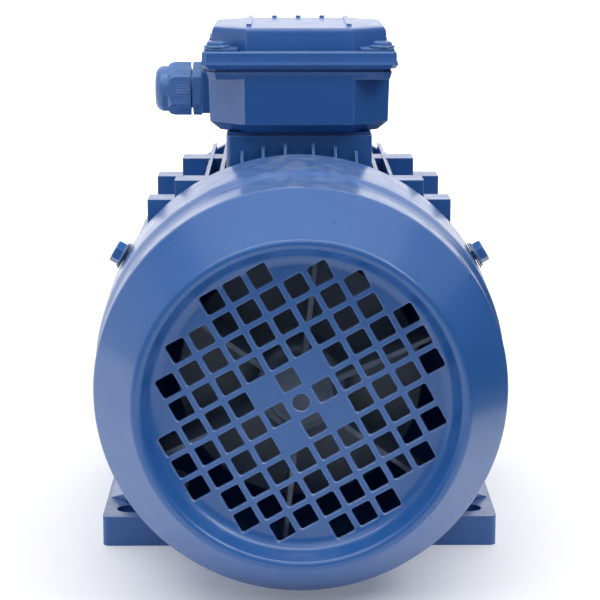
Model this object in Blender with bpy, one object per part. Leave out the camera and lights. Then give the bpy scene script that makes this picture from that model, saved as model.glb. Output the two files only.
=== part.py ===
"""Foot-mounted, fan-cooled three-phase induction motor, IEC frame size 100L.

Axes: +Y runs along the shaft towards the driven machine, +X to the right as seen from the fan
cover, +Z up. The origin is at floor level under the middle of the motor's overall length.
Dimensions are written in millimetres and turned into metres when a mesh is made.
"""

import math

import bmesh
import bpy
from mathutils import Matrix, Vector

MM = 0.001
GAP = 0.3                     # clearance kept between two pieces that touch

# IEC 60072 dimensions of a 100L foot-mounted motor
AXIS_HEIGHT = 100             # H
FOOT_HOLE_SPACING_Y = 140     # B
SHOULDER_TO_FOOT_HOLE = 63    # C
SHAFT_DIAMETER = 28           # D
SHAFT_EXTENSION = 60          # E
KEY_WIDTH = 8                 # F
KEY_LENGTH = 50
KEY_TOP = 31                  # GA, from the far side of the shaft to the key's top
FOOT_HOLE_WIDTH = 12          # K
OVERALL_LENGTH = 387

# Stations along the shaft
SHAFT_END = OVERALL_LENGTH / 2
SHOULDER = SHAFT_END - SHAFT_EXTENSION
FRONT_FOOT_HOLE = SHOULDER - SHOULDER_TO_FOOT_HOLE
REAR_FOOT_HOLE = FRONT_FOOT_HOLE - FOOT_HOLE_SPACING_Y
FOOT_MIDDLE = (FRONT_FOOT_HOLE + REAR_FOOT_HOLE) / 2
FRAME_REAR = -92
FRAME_FRONT = 89.5
CORE_REAR = -63
CORE_FRONT = 59.5
COVER_LIP = -OVERALL_LENGTH / 2
COVER_RIM = COVER_LIP + 28
COVER_STEP = COVER_RIM + 32
COVER_BAND = COVER_STEP + 10
COVER_EDGE = COVER_RIM + 90
COVER_SCREW_Y = COVER_EDGE - 8
GRILLE_FRONT = COVER_LIP + 11.5
FAN_SEAT = -155.6             # rear face of the fan's hub
FAN_PLATE_FRONT = -131

# Frame
BORE_RADIUS = 77.5
BARREL_RADIUS = 82.5
FIN_TIP_RADIUS = 96.5
FIN_OFFSETS = (-47, -39, -28.5, -18, -7, 7, 18, 28.5, 39, 47)
FIN_ROOT_WIDTH = 3.4
FIN_TIP_WIDTH = 2.4
LUG_THICKNESS = 18
LUG_STATIONS = (-52.5, 32.5)
LUG_INNER_STEP = (62.5, 84.2)     # x and height of the inner tread's corner, from the axis
LUG_OUTER_STEP = (76.2, 74.5)
PLATE_PAD_X = 97.3
PLATE_PAD_Y = (-46, 16)
PLATE_PAD_Z = (79, 121)
PLATE_MARGIN = 3
PEDESTAL_TOP = 206.6
PEDESTAL_HALF_WIDTH = 36.5
PEDESTAL_HALF_DEPTH = 38

# End shields and their bolts
BOLT_CIRCLE_RADIUS = 86
BOLT_ANGLES = (45, 135, 225, 315)
BOLT_RADIUS = 3
FLANGE_REACH = 10.3           # from the frame's front end to the front shield's flange face
REAR_FLANGE_OFFSET = -8.3
FRONT_FLANGE_FACE = FRAME_FRONT + FLANGE_REACH
REAR_FLANGE_FACE = FRAME_REAR + REAR_FLANGE_OFFSET
BOSS_RADIUS = 6.5

# Ball bearings, size 6206
BEARING_BORE_RADIUS = 15
BEARING_OUTER_RADIUS = 31
BEARING_WIDTH = 16
BALL_PITCH_RADIUS = 23
BALL_RADIUS = 4.6
BALL_COUNT = 9
BEARING_SEAT_RADIUS = 31.3
SHOULDER_CLEARANCE = 8.3      # from a bearing's middle to the face beside it
REAR_BEARING_Y = FRAME_REAR - 10
FRONT_BEARING_Y = FRAME_FRONT + 23

# Fan cover
COVER_RADIUS = 95.8
COVER_BAND_RADIUS = 98.2
COVER_SKIRT_RADIUS = 99.2
COVER_SHEET = 1.5
COVER_LIP_RADIUS = 76.6
DISH_WALL_RADIUS = 73
DISH_WALL_DEPTH = 8
GRILLE_RADIUS = 69.5
GRILLE_TILT = math.radians(29.1)
GRILLE_PITCH_U = 12.16
GRILLE_PITCH_V = 11.98
GRILLE_HOLE = 9.2
GRILLE_CENTRE_HOLE = 4        # radius
GRILLE_REACH = 26             # largest u*u + v*v of a hole's place in the lattice
COVER_SCREW_ANGLES = (30, 150, 210, 330)
COVER_SCREW_RADIUS = 2.4

# Feet
FOOT_OUTER_X = 100
FOOT_INNER_X = 57
FOOT_THICKNESS = 15.5
FOOT_OVERHANG = 14            # from a foot hole's centre to the end of the foot
FOOT_RIB_X = 98.5
FOOT_RIB_SLOPE = 0.62
FOOT_LEDGE_HALF_LENGTH = 57.5
FOOT_SLOT_CENTRE_X = 83.5
FOOT_SLOT_LENGTH = 20
FOOT_BOLT_X = 70
FOOT_BOLT_RADIUS = 4
FOOT_BOLT_HEAD_RADIUS = 6.4
FOOT_BOLT_HEAD_TOP = 9.5

# Terminal box, centred on the pedestal
BOX_Y = -23
BOX_FLOOR_BOTTOM = PEDESTAL_TOP + 1.8
BOX_FLOOR_TOP = BOX_FLOOR_BOTTOM + 4.6
BOX_RIM_TOP = 238.9
BOX_RIM_HEIGHT = 3.8
BOX_RIM_CORNER = 4
BOX_HALF = 45.3
BOX_CORNER = 18
BOX_HOLLOW_HALF = 42
BOX_HOLLOW_CORNER = 16.5
BOX_RIM_HALF = 46
LID_BOTTOM = 240.6
LID_FLANGE_TOP = 248.9
LID_TOP = 260.3
LID_HALF = 48.8
LID_FLANGE_CORNER = 2
LID_DOME_HALF = 44
LID_DOME_CORNER = 17.5
LID_WALL = 3.5
LID_RIBS = ((-25, -30, 40), (-12.5, 36, 41), (0, 36, 41), (12.5, 36, 41), (25, -30, 40))
LID_RIB_HALF_WIDTH = 1.3
LID_SCREW_OFFSET = 41
LID_SCREW_RADIUS = 2.2
LID_SCREW_TIP = BOX_RIM_TOP - 3
LID_PAD_TOP = LID_FLANGE_TOP + 1.6
LID_PAD_INNER = 30.5
LID_PAD_OUTER = 46.9
CABLE_WINDOW_HALF = 20
BOARD_BOTTOM = 219.3
BOARD_TOP = 225
STUD_ROW_OFFSET = 9
STUD_SPACING = 18
STUD_RADIUS = 2.5

# Cable gland, on the -X side of the terminal box
GLAND_Z = 226.6
GLAND_BORE_RADIUS = 6
GLAND_SHANK_RADIUS = 9.9
GLAND_HEX_RADIUS = 13.7
GLAND_PAD_X = -49.5

# Windings and rotor
STATOR_SLOTS = 24
ROTOR_SLOTS = 20
AIR_GAP_RADIUS = 47.4
SHAFT_CORE_RADIUS = 20
COIL_REACH = 21.5             # from the core's end to the end coil's far side

# Cooling fan
FAN_BLADES = 6
FAN_RADIUS = 78
FAN_HUB_RADIUS = 21
FAN_BORE_RADIUS = 12
GROOVE_RADIUS = 11            # bottom of the circlip groove
BLADE_REAR = FAN_SEAT - 12
BLADE_FRONT = FAN_PLATE_FRONT - 2.5

BLUE_PAINT = ((0.055, 0.125, 0.335), 0.36, 0.0)
BARE_STEEL = ((0.52, 0.52, 0.53), 0.3, 1.0)
ZINC_STEEL = ((0.6, 0.61, 0.63), 0.35, 1.0)
CORE_STEEL = ((0.2, 0.2, 0.21), 0.5, 0.9)
ALUMINIUM = ((0.66, 0.67, 0.69), 0.4, 1.0)
COPPER = ((0.72, 0.32, 0.14), 0.4, 1.0)
BRASS = ((0.72, 0.53, 0.24), 0.3, 1.0)
BLACK_RUBBER = ((0.02, 0.02, 0.022), 0.8, 0.0)
GREY_PLASTIC = ((0.23, 0.25, 0.28), 0.55, 0.0)
BLUE_PLASTIC = ((0.05, 0.115, 0.31), 0.45, 0.0)
BOARD_RESIN = ((0.32, 0.09, 0.04), 0.5, 0.0)
PLATE_ALUMINIUM = ((0.75, 0.76, 0.78), 0.35, 1.0)


# ---------------------------------------------------------------- modelling helpers

def clear_scene():
    for obj in list(bpy.data.objects):
        bpy.data.objects.remove(obj, do_unlink=True)


def along(axis, u, v, w):
    """Point with w millimetres along the named axis and u, v across it."""
    if axis == "X":
        return Vector((w, u, v)) * MM
    if axis == "Y":
        return Vector((u, w, v)) * MM
    return Vector((u, v, w)) * MM


def add_lathe(bm, profile, axis="Y", centre=(0, 0), steps=48):
    """Turn a closed outline of (radius, station) about an axis through centre.

    Points at radius 0 only close the outline: the ring next to them gets one flat face.
    """
    rings = []
    for radius, station in profile:
        ring = []
        for step in range(steps if radius else 0):
            angle = math.tau * (step + 0.5) / steps
            u = centre[0] + radius * math.cos(angle)
            v = centre[1] + radius * math.sin(angle)
            ring.append(bm.verts.new(along(axis, u, v, station)))
        rings.append(ring)
    for first, second in zip(rings, rings[1:] + rings[:1]):
        if first and second:
            for step in range(steps):
                following = (step + 1) % steps
                bm.faces.new([first[step], first[following], second[following], second[step]])
        elif first or second:
            bm.faces.new(first or second)


def add_disc(bm, radius, low, high, axis="Y", centre=(0, 0), steps=48):
    """Solid round bar from low to high."""
    add_lathe(bm, [(0, low), (radius, low), (radius, high), (0, high)], axis, centre, steps)


def add_tube(bm, inner, outer, low, high, axis="Y", centre=(0, 0), steps=48):
    add_lathe(bm, [(inner, low), (outer, low), (outer, high), (inner, high)], axis, centre, steps)


def add_loft(bm, sections):
    """Skin between closed sections, each a list of points in metres, with flat ends."""
    rings = [[bm.verts.new(point) for point in section] for section in sections]
    for first, second in zip(rings, rings[1:]):
        for index, corner in enumerate(first):
            following = (index + 1) % len(first)
            bm.faces.new([corner, first[following], second[following], second[index]])
    bm.faces.new(rings[0])
    bm.faces.new(rings[-1])


def add_prism(bm, outline, low, high, axis="Y"):
    """Extrude a closed outline of (u, v) from low to high along an axis."""
    add_loft(bm, [[along(axis, u, v, station) for u, v in outline] for station in (low, high)])


def add_box(bm, low, high):
    outline = [(low[0], low[1]), (high[0], low[1]), (high[0], high[1]), (low[0], high[1])]
    add_prism(bm, outline, low[2], high[2], "Z")


def add_hull(bm, points):
    verts = [bm.verts.new(Vector(point) * MM) for point in points]
    result = bmesh.ops.convex_hull(bm, input=verts)
    inside = [item for item in result["geom_interior"] if isinstance(item, bmesh.types.BMVert)]
    bmesh.ops.delete(bm, geom=inside, context="VERTS")


def slot_outline(centre_u, centre_v, length, width, steps=8):
    """Slot with round ends, running along the first axis."""
    radius = width / 2
    reach = length / 2 - radius
    points = []
    for side in (1, -1):
        for step in range(steps + 1):
            angle = math.pi * (step / steps - 0.5)
            points.append((centre_u + side * (reach + radius * math.cos(angle)),
                           centre_v + side * radius * math.sin(angle)))
    return points


def square_outline(half, corner):
    """Square of half-width half whose corners are cut at 45 degrees."""
    inner = half - corner
    quarter = [(half, -inner), (half, inner)]
    points = []
    for turn in range(4):
        cosine = round(math.cos(turn * math.pi / 2))
        sine = round(math.sin(turn * math.pi / 2))
        points += [(x * cosine - y * sine, x * sine + y * cosine) for x, y in quarter]
    return points


def box_section(half, corner, z):
    """Section of the terminal box at height z, in metres."""
    return [along("Z", x, y + BOX_Y, z) for x, y in square_outline(half, corner)]


def make_object(name, bm):
    bmesh.ops.recalc_face_normals(bm, faces=bm.faces)
    mesh = bpy.data.meshes.new(name)
    bm.to_mesh(mesh)
    bm.free()
    obj = bpy.data.objects.new(name, mesh)
    bpy.context.collection.objects.link(obj)
    return obj


def solid(name, *steps):
    """New object made by the given functions, each of which adds to its mesh."""
    bm = bmesh.new()
    for add, *arguments in steps:
        add(bm, *arguments)
    return make_object(name, bm)


def combine(obj, tool, operation):
    modifier = obj.modifiers.new(f"{operation.title()} {tool.name}", "BOOLEAN")
    modifier.solver = "EXACT"
    modifier.operation = operation
    modifier.object = tool
    tool.hide_render = True
    tool.display_type = "WIRE"


def fuse(obj, tool):
    combine(obj, tool, "UNION")


def cut(obj, tool):
    combine(obj, tool, "DIFFERENCE")


def finish(obj, look, smooth_angle=30):
    """Give a sub-part its own material and smooth its round faces."""
    colour, roughness, metallic = look
    material = bpy.data.materials.new(obj.name)
    material.use_nodes = True
    shader = material.node_tree.nodes["Principled BSDF"]
    shader.inputs["Base Color"].default_value = (*colour, 1)
    shader.inputs["Roughness"].default_value = roughness
    shader.inputs["Metallic"].default_value = metallic
    material.diffuse_color = (*colour, 1)
    obj.data.materials.append(material)
    obj.data.shade_smooth()
    obj.data.set_sharp_from_angle(angle=math.radians(smooth_angle))
    return obj


def shift(obj, x=0, y=0, z=0):
    obj.location += Vector((x, y, z)) * MM


def on_axis(obj):
    """Place a part that was made about its own origin on the shaft's axis."""
    obj.location = Vector((0, 0, AXIS_HEIGHT)) * MM
    return obj


def set_parent(child, parent):
    child.parent = parent
    child.matrix_parent_inverse = parent.matrix_world.inverted()


# ---------------------------------------------------------------- frame and feet

def circle_height(radius, offset):
    return math.sqrt(radius * radius - offset * offset)


def finned_outline():
    """Barrel with parallel fins in four groups: above, left, below and right."""
    fin = ((-FIN_ROOT_WIDTH, BARREL_RADIUS), (-FIN_TIP_WIDTH, FIN_TIP_RADIUS),
           (FIN_TIP_WIDTH, FIN_TIP_RADIUS), (FIN_ROOT_WIDTH, BARREL_RADIUS))
    quarter = []
    for offset in FIN_OFFSETS:
        for width, radius in fin:
            across = offset + width / 2
            quarter.append((across, circle_height(radius, across)))
    for angle in (49, 45, 41):
        quarter.append((BARREL_RADIUS * math.cos(math.radians(angle)),
                        BARREL_RADIUS * math.sin(math.radians(angle))))
    points = []
    for turn in range(4):
        cosine = round(math.cos(turn * math.pi / 2))
        sine = round(math.sin(turn * math.pi / 2))
        points += [(x * cosine + y * sine, y * cosine - x * sine) for x, y in quarter]
    return points


def lug_outline(side_x, side_z):
    """Stepped lug at one corner of the frame, seen along the shaft."""
    inner_x, inner_z = LUG_INNER_STEP
    outer_x, outer_z = LUG_OUTER_STEP
    corners = [(30, 60), (30, inner_z), (inner_x, inner_z), (inner_x, outer_z),
               (outer_x, outer_z), (outer_x, 45), (70, 36), (50, 40)]
    return [(side_x * x, side_z * z) for x, z in corners]


def make_stator_frame():
    frame = on_axis(solid("stator_frame", (add_prism, finned_outline(), FRAME_REAR, FRAME_FRONT)))
    half = LUG_THICKNESS / 2
    lugs = on_axis(solid("frame_lugs", *[
        (add_prism, lug_outline(side_x, side_z), station - half, station + half)
        for side_x in (-1, 1) for side_z in (-1, 1) for station in LUG_STATIONS]))
    fuse(frame, lugs)
    pedestal = solid("frame_pedestal", (
        add_box, (-PEDESTAL_HALF_WIDTH, BOX_Y - PEDESTAL_HALF_DEPTH, 150),
        (PEDESTAL_HALF_WIDTH, BOX_Y + PEDESTAL_HALF_DEPTH, PEDESTAL_TOP)))
    fuse(frame, pedestal)
    plate_pad = solid("frame_plate_pad", (
        add_box, (70, PLATE_PAD_Y[0], PLATE_PAD_Z[0]), (PLATE_PAD_X, PLATE_PAD_Y[1], PLATE_PAD_Z[1])))
    fuse(frame, plate_pad)
    bosses = on_axis(solid("frame_bolt_bosses", *[
        (add_disc, BOSS_RADIUS, low, low + 15, "Y", bolt_centre(angle), 12)
        for angle in BOLT_ANGLES for low in (FRAME_REAR + 0.5, FRAME_FRONT - 15.5)]))
    fuse(frame, bosses)
    for angle in COVER_SCREW_ANGLES:
        boss = radial("frame_cover_boss", angle, COVER_SCREW_Y, (add_disc, 6, 75, 96.3, "X", (0, 0), 12))
        fuse(frame, boss)
    bore = on_axis(solid("frame_bore", (
        add_disc, BORE_RADIUS, FRAME_REAR - 5, FRAME_FRONT + 5, "Y", (0, 0), 36)))
    cut(frame, bore)
    window = solid("frame_cable_window", (
        add_box, (-CABLE_WINDOW_HALF, BOX_Y - CABLE_WINDOW_HALF, 165),
        (CABLE_WINDOW_HALF, BOX_Y + CABLE_WINDOW_HALF, PEDESTAL_TOP + 5)))
    cut(frame, window)
    bolt_holes = on_axis(solid("frame_bolt_holes", *[
        (add_disc, BOLT_RADIUS + GAP, low, low + 17, "Y", bolt_centre(angle), 12)
        for angle in BOLT_ANGLES for low in (FRAME_REAR - 5, FRAME_FRONT - 12)]))
    cut(frame, bolt_holes)
    foot_holes = solid("frame_foot_bolt_holes", *[
        (add_disc, FOOT_BOLT_RADIUS + GAP, 20, 40, "Z", (side * FOOT_BOLT_X, station), 12)
        for side in (-1, 1) for station in LUG_STATIONS])
    cut(frame, foot_holes)
    for angle in COVER_SCREW_ANGLES:
        hole = radial("frame_cover_screw_hole", angle, COVER_SCREW_Y,
                      (add_disc, COVER_SCREW_RADIUS + GAP, 84, 100, "X", (0, 0), 12))
        cut(frame, hole)
    return finish(frame, BLUE_PAINT)


def bolt_centre(angle, radius=BOLT_CIRCLE_RADIUS):
    return (radius * math.cos(math.radians(angle)), radius * math.sin(math.radians(angle)))


def radial(name, angle, station, *steps):
    """Object made along +X, then turned about the shaft's axis by angle and set at a station."""
    obj = on_axis(solid(name, *steps))
    obj.rotation_euler = (0, -math.radians(angle), 0)
    shift(obj, y=station)
    return obj


def make_foot(name, side):
    """Cast foot: a bar with a slot at each end and a sloping rib between them."""
    ledge_top = AXIS_HEIGHT - LUG_OUTER_STEP[1] - GAP
    ledge_inner_x = LUG_INNER_STEP[0] + GAP
    rib_inner_x = LUG_OUTER_STEP[0] + GAP
    half_length = FOOT_HOLE_SPACING_Y / 2 + FOOT_OVERHANG
    foot = solid(name, (
        add_box, (FOOT_INNER_X, -half_length, 0), (FOOT_OUTER_X, half_length, FOOT_THICKNESS)))
    rib_points = []
    for x, y in ((FOOT_RIB_X, 50), (89.5, 61.5), (rib_inner_x, 61.5)):
        for end in (-1, 1):
            rib_points.append((x, end * y, FOOT_THICKNESS - 2))
            rib_points.append((x, end * y, FOOT_THICKNESS + FOOT_RIB_SLOPE * (FOOT_RIB_X - x)))
    rib = solid(name + "_rib", (add_hull, rib_points))
    ledge = solid(name + "_ledge", (
        add_box, (ledge_inner_x, -FOOT_LEDGE_HALF_LENGTH, FOOT_THICKNESS - 3),
        (rib_inner_x + 0.5, FOOT_LEDGE_HALF_LENGTH, ledge_top)))
    slots = solid(name + "_slots", *[
        (add_prism, slot_outline(FOOT_SLOT_CENTRE_X, end * FOOT_HOLE_SPACING_Y / 2,
                                 FOOT_SLOT_LENGTH, FOOT_HOLE_WIDTH), -5, 40, "Z") for end in (-1, 1)])
    head_radius = FOOT_BOLT_HEAD_RADIUS + GAP
    shank_radius = FOOT_BOLT_RADIUS + GAP
    seat = FOOT_BOLT_HEAD_TOP + GAP
    bolts = solid(name + "_bolt_holes", *[
        (add_lathe, [(0, -5), (head_radius, -5), (head_radius, seat), (shank_radius, seat),
                     (shank_radius, 40), (0, 40)], "Z", (FOOT_BOLT_X, station - FOOT_MIDDLE), 16)
        for station in LUG_STATIONS])
    fuse(foot, rib)
    fuse(foot, ledge)
    for tool in (slots, bolts):
        cut(foot, tool)
    for obj in (foot, rib, ledge, slots, bolts):
        if side < 0:
            mirror_x(obj)
        shift(obj, y=FOOT_MIDDLE)
    return finish(foot, BLUE_PAINT)


def mirror_x(obj):
    """Reflect a mesh in the plane x = 0 and turn its faces out again."""
    obj.data.transform(Matrix.Scale(-1, 4, (1, 0, 0)))
    obj.data.flip_normals()


def make_foot_bolt(name, side, station):
    bolt = solid(name, (add_lathe, [
        (0, 1.5), (FOOT_BOLT_HEAD_RADIUS, 1.5), (FOOT_BOLT_HEAD_RADIUS, FOOT_BOLT_HEAD_TOP),
        (FOOT_BOLT_RADIUS, FOOT_BOLT_HEAD_TOP), (FOOT_BOLT_RADIUS, 37), (0, 37)], "Z", (0, 0), 16))
    socket = solid(name + "_socket", (add_disc, 3.4, 0, 6, "Z", (0, 0), 6))
    cut(bolt, socket)
    for obj in (bolt, socket):
        shift(obj, side * FOOT_BOLT_X, station)
    return finish(bolt, ZINC_STEEL)


# ---------------------------------------------------------------- end shields

def make_endshield(name, profile, flange_low, flange_high):
    shield = on_axis(solid(name, (add_lathe, profile, "Y", (0, 0), 24)))
    holes = on_axis(solid(name + "_bolt_holes", *[
        (add_disc, BOLT_RADIUS + GAP, flange_low - 5, flange_high + 5, "Y", bolt_centre(angle), 12)
        for angle in BOLT_ANGLES]))
    cut(shield, holes)
    return finish(shield, BLUE_PAINT)


def make_front_endshield():
    """The profile's stations are offsets from the frame's front end."""
    profile = [(22.3, 38), (42, 38), (44, 36), (47, 21), (79, FLANGE_REACH), (93, FLANGE_REACH),
               (93, GAP), (77.2, GAP), (77.2, -7), (72, -7), (72, 4), (42, 13), (37, 15),
               (BEARING_SEAT_RADIUS, 15), (BEARING_SEAT_RADIUS, 31.6), (22.3, 31.6)]
    profile = [(radius, FRAME_FRONT + offset) for radius, offset in profile]
    return make_endshield("front_endshield", profile, FRAME_FRONT, FRONT_FLANGE_FACE)


def make_rear_endshield():
    """The profile's stations are offsets from the frame's rear end."""
    profile = [(17, -25), (38, -25), (40, -23), (43, -17), (79, REAR_FLANGE_OFFSET),
               (92, REAR_FLANGE_OFFSET), (92, -GAP), (77.2, -GAP), (77.2, 6), (72, 6), (72, -4),
               (42, -9), (37, -2), (BEARING_SEAT_RADIUS, -2), (BEARING_SEAT_RADIUS, -20), (17, -20)]
    profile = [(radius, FRAME_REAR + offset) for radius, offset in profile]
    return make_endshield("rear_endshield", profile, REAR_FLANGE_FACE, FRAME_REAR)


def make_endshield_bolt(name, angle, seat, direction):
    """Hex-head bolt whose head lies on a flange face at seat and whose shank runs in direction."""
    reach = 19
    tip = seat + direction * reach
    head = seat - direction * 4.3
    head_inner = seat - direction * GAP
    bolt = on_axis(solid(name, (add_disc, 5.6, min(head, head_inner), max(head, head_inner), "Y",
                                bolt_centre(angle), 6)))
    shank_start = seat - direction * 2
    shank = on_axis(solid(name + "_shank", (
        add_disc, BOLT_RADIUS, min(shank_start, tip), max(shank_start, tip), "Y", bolt_centre(angle), 12)))
    fuse(bolt, shank)
    return finish(bolt, ZINC_STEEL)


# ---------------------------------------------------------------- fan cover

def cover_profile():
    """Sheet outline: skirt, joggle, rounded rim, cone face, lip, dished wall and grille disc."""
    wall_y = COVER_LIP + DISH_WALL_DEPTH
    outer = [(COVER_SKIRT_RADIUS, COVER_EDGE), (COVER_BAND_RADIUS, COVER_BAND), (COVER_RADIUS, COVER_STEP),
             (COVER_RADIUS, COVER_RIM + 3), (COVER_RADIUS - 1, COVER_RIM),
             (COVER_LIP_RADIUS + 1.2, COVER_LIP + 0.7), (COVER_LIP_RADIUS, COVER_LIP),
             (COVER_LIP_RADIUS - 1.2, COVER_LIP + 1), (DISH_WALL_RADIUS, wall_y),
             (GRILLE_RADIUS, GRILLE_FRONT), (0, GRILLE_FRONT)]
    inner = [(0, GRILLE_FRONT + COVER_SHEET), (GRILLE_RADIUS + 0.8, GRILLE_FRONT + COVER_SHEET),
             (DISH_WALL_RADIUS + 1.4, wall_y + 0.6), (COVER_LIP_RADIUS, COVER_LIP + 2.6),
             (COVER_RADIUS - 2.4, COVER_RIM + 0.9), (COVER_RADIUS - COVER_SHEET, COVER_RIM + 4),
             (COVER_RADIUS - COVER_SHEET, COVER_STEP + 0.5),
             (COVER_BAND_RADIUS - COVER_SHEET, COVER_BAND + 0.5),
             (COVER_SKIRT_RADIUS - COVER_SHEET, COVER_EDGE)]
    return outer + inner


def grille_hole_centres():
    """Lattice places of the square holes, tilted about the cover's centre."""
    cosine = math.cos(GRILLE_TILT)
    sine = math.sin(GRILLE_TILT)
    for u in range(-5, 6):
        for v in range(-5, 6):
            distance = u * u + v * v
            if distance > GRILLE_REACH or distance == 0 or (abs(u), abs(v)) == (1, 1):
                continue
            along_u = u * GRILLE_PITCH_U
            along_v = v * GRILLE_PITCH_V
            yield along_u * cosine - along_v * sine, along_u * sine + along_v * cosine


def grille_hole_outline(centre_x, centre_z):
    half = GRILLE_HOLE / 2
    cosine = math.cos(GRILLE_TILT)
    sine = math.sin(GRILLE_TILT)
    return [(centre_x + half * (u * cosine - v * sine), centre_z + half * (u * sine + v * cosine))
            for u, v in ((-1, -1), (1, -1), (1, 1), (-1, 1))]


def make_fan_cover():
    cover = on_axis(solid("fan_cover", (add_lathe, cover_profile(), "Y", (0, 0), 36)))
    low = GRILLE_FRONT - 3
    high = GRILLE_FRONT + COVER_SHEET + 3
    holes = on_axis(solid("grille_holes", (add_disc, GRILLE_CENTRE_HOLE, low, high, "Y", (0, 0), 16), *[
        (add_prism, grille_hole_outline(*centre), low, high) for centre in grille_hole_centres()]))
    cut(cover, holes)
    for angle in COVER_SCREW_ANGLES:
        hole = radial("cover_screw_hole", angle, COVER_SCREW_Y,
                      (add_disc, COVER_SCREW_RADIUS + 0.5, 90, 110, "X", (0, 0), 12))
        cut(cover, hole)
    return finish(cover, BLUE_PAINT)


def make_cover_screw(name, angle):
    """Flanged hex screw, radial to the shaft."""
    seat = COVER_SKIRT_RADIUS + GAP
    screw = radial(name, angle, COVER_SCREW_Y, (add_lathe, [
        (0, 87), (COVER_SCREW_RADIUS, 87), (COVER_SCREW_RADIUS, seat), (6.6, seat), (6.4, seat + 1.3),
        (5, seat + 1.6), (0, seat + 1.6)], "X", (0, 0), 10))
    head = radial(name + "_head", angle, COVER_SCREW_Y, (add_disc, 5.4, seat + 1, seat + 5, "X", (0, 0), 6))
    fuse(screw, head)
    return finish(screw, BLUE_PAINT)


# ---------------------------------------------------------------- stator and rotor

def radial_bar_outline(index, count, inner, outer, width):
    """Rectangle seen along the shaft, from inner to outer radius, at one of count equal angles."""
    angle = math.tau * index / count
    cosine = math.cos(angle)
    sine = math.sin(angle)
    half = width / 2
    return [(r * cosine - t * sine, r * sine + t * cosine)
            for r, t in ((inner, -half), (outer, -half), (outer, half), (inner, half))]


def add_bars(bm, count, inner, outer, width, low, high):
    for index in range(count):
        add_prism(bm, radial_bar_outline(index, count, inner, outer, width), low, high)


def make_stator_core():
    core = on_axis(solid("stator_core", (
        add_tube, AIR_GAP_RADIUS + 0.2, BORE_RADIUS - GAP, CORE_REAR, CORE_FRONT, "Y", (0, 0), 36)))
    slots = on_axis(solid("stator_slots", (
        add_bars, STATOR_SLOTS, 50, 64, 6, CORE_REAR - 5, CORE_FRONT + 5)))
    cut(core, slots)
    return finish(core, CORE_STEEL)


def make_stator_winding():
    """Two end coils joined by a bar of wires in every slot."""
    def coil(low, high):
        return [(50, low + 3), (54, low), (66, low), (70, low + 4), (70, high - 4), (66, high),
                (54, high), (50, high - 3)]
    winding = on_axis(solid(
        "stator_winding",
        (add_lathe, coil(CORE_REAR - COIL_REACH, CORE_REAR - 0.5), "Y", (0, 0), 24),
        (add_lathe, coil(CORE_FRONT + 0.5, CORE_FRONT + COIL_REACH), "Y", (0, 0), 24)))
    bars = on_axis(solid("winding_bars", (
        add_bars, STATOR_SLOTS, 50.6, 63.4, 5, CORE_REAR - 5, CORE_FRONT + 5)))
    fuse(winding, bars)
    return finish(winding, COPPER)


def make_rotor_core():
    core = on_axis(solid("rotor_core", (
        add_tube, SHAFT_CORE_RADIUS + GAP, AIR_GAP_RADIUS - 0.2, CORE_REAR, CORE_FRONT, "Y", (0, 0), 30)))
    slots = on_axis(solid("rotor_slots", (
        add_bars, ROTOR_SLOTS, 37, 44, 5, CORE_REAR - 5, CORE_FRONT + 5)))
    cut(core, slots)
    return finish(core, CORE_STEEL)


def make_rotor_cage():
    """Squirrel cage: two end rings with the bars between them."""
    cage = on_axis(solid(
        "rotor_cage",
        (add_tube, 31, 46.6, CORE_REAR - 9, CORE_REAR - GAP, "Y", (0, 0), 20),
        (add_tube, 31, 46.6, CORE_FRONT + GAP, CORE_FRONT + 9, "Y", (0, 0), 20)))
    bars = on_axis(solid("cage_bars", (
        add_bars, ROTOR_SLOTS, 37.4, 43.6, 4.2, CORE_REAR - 4, CORE_FRONT + 4)))
    fuse(cage, bars)
    return finish(cage, ALUMINIUM)


def make_shaft():
    radius = SHAFT_DIAMETER / 2
    chamfer = 1.2
    rear_end = FAN_SEAT - 5
    groove = (FAN_SEAT - 1.9, FAN_SEAT - 0.3)
    core_start = REAR_BEARING_Y + SHOULDER_CLEARANCE
    core_end = FRONT_BEARING_Y - SHOULDER_CLEARANCE
    shaft = on_axis(solid("shaft", (add_lathe, [
        (0, rear_end), (GROOVE_RADIUS, rear_end), (FAN_BORE_RADIUS, rear_end + 1),
        (FAN_BORE_RADIUS, groove[0]), (GROOVE_RADIUS, groove[0]), (GROOVE_RADIUS, groove[1]),
        (FAN_BORE_RADIUS, groove[1]), (FAN_BORE_RADIUS, -120), (BEARING_BORE_RADIUS, -118),
        (BEARING_BORE_RADIUS, core_start), (SHAFT_CORE_RADIUS, core_start), (SHAFT_CORE_RADIUS, core_end),
        (BEARING_BORE_RADIUS, core_end), (BEARING_BORE_RADIUS, SHOULDER), (radius, SHOULDER),
        (radius, SHAFT_END - chamfer), (radius - chamfer, SHAFT_END), (4.5, SHAFT_END),
        (3, SHAFT_END - 3), (3, SHAFT_END - 20), (0, SHAFT_END - 20)], "Y", (0, 0), 20)))
    keyway = on_axis(solid("keyway", (
        add_prism, slot_outline(0, 0, KEY_LENGTH + 2 * GAP, KEY_WIDTH + 2 * GAP), 10, 25, "Z")))
    keyway.rotation_euler = (0, 0, math.radians(90))
    shift(keyway, y=SHAFT_END - SHAFT_EXTENSION / 2)
    cut(shaft, keyway)
    return finish(shaft, BARE_STEEL)


def make_shaft_key():
    top = KEY_TOP - SHAFT_DIAMETER / 2
    key = on_axis(solid("shaft_key", (
        add_prism, slot_outline(0, 0, KEY_LENGTH, KEY_WIDTH), 10 + GAP, top, "Z")))
    key.rotation_euler = (0, 0, math.radians(90))
    shift(key, y=SHAFT_END - SHAFT_EXTENSION / 2)
    return finish(key, ZINC_STEEL)


# ---------------------------------------------------------------- bearings and seals

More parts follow.
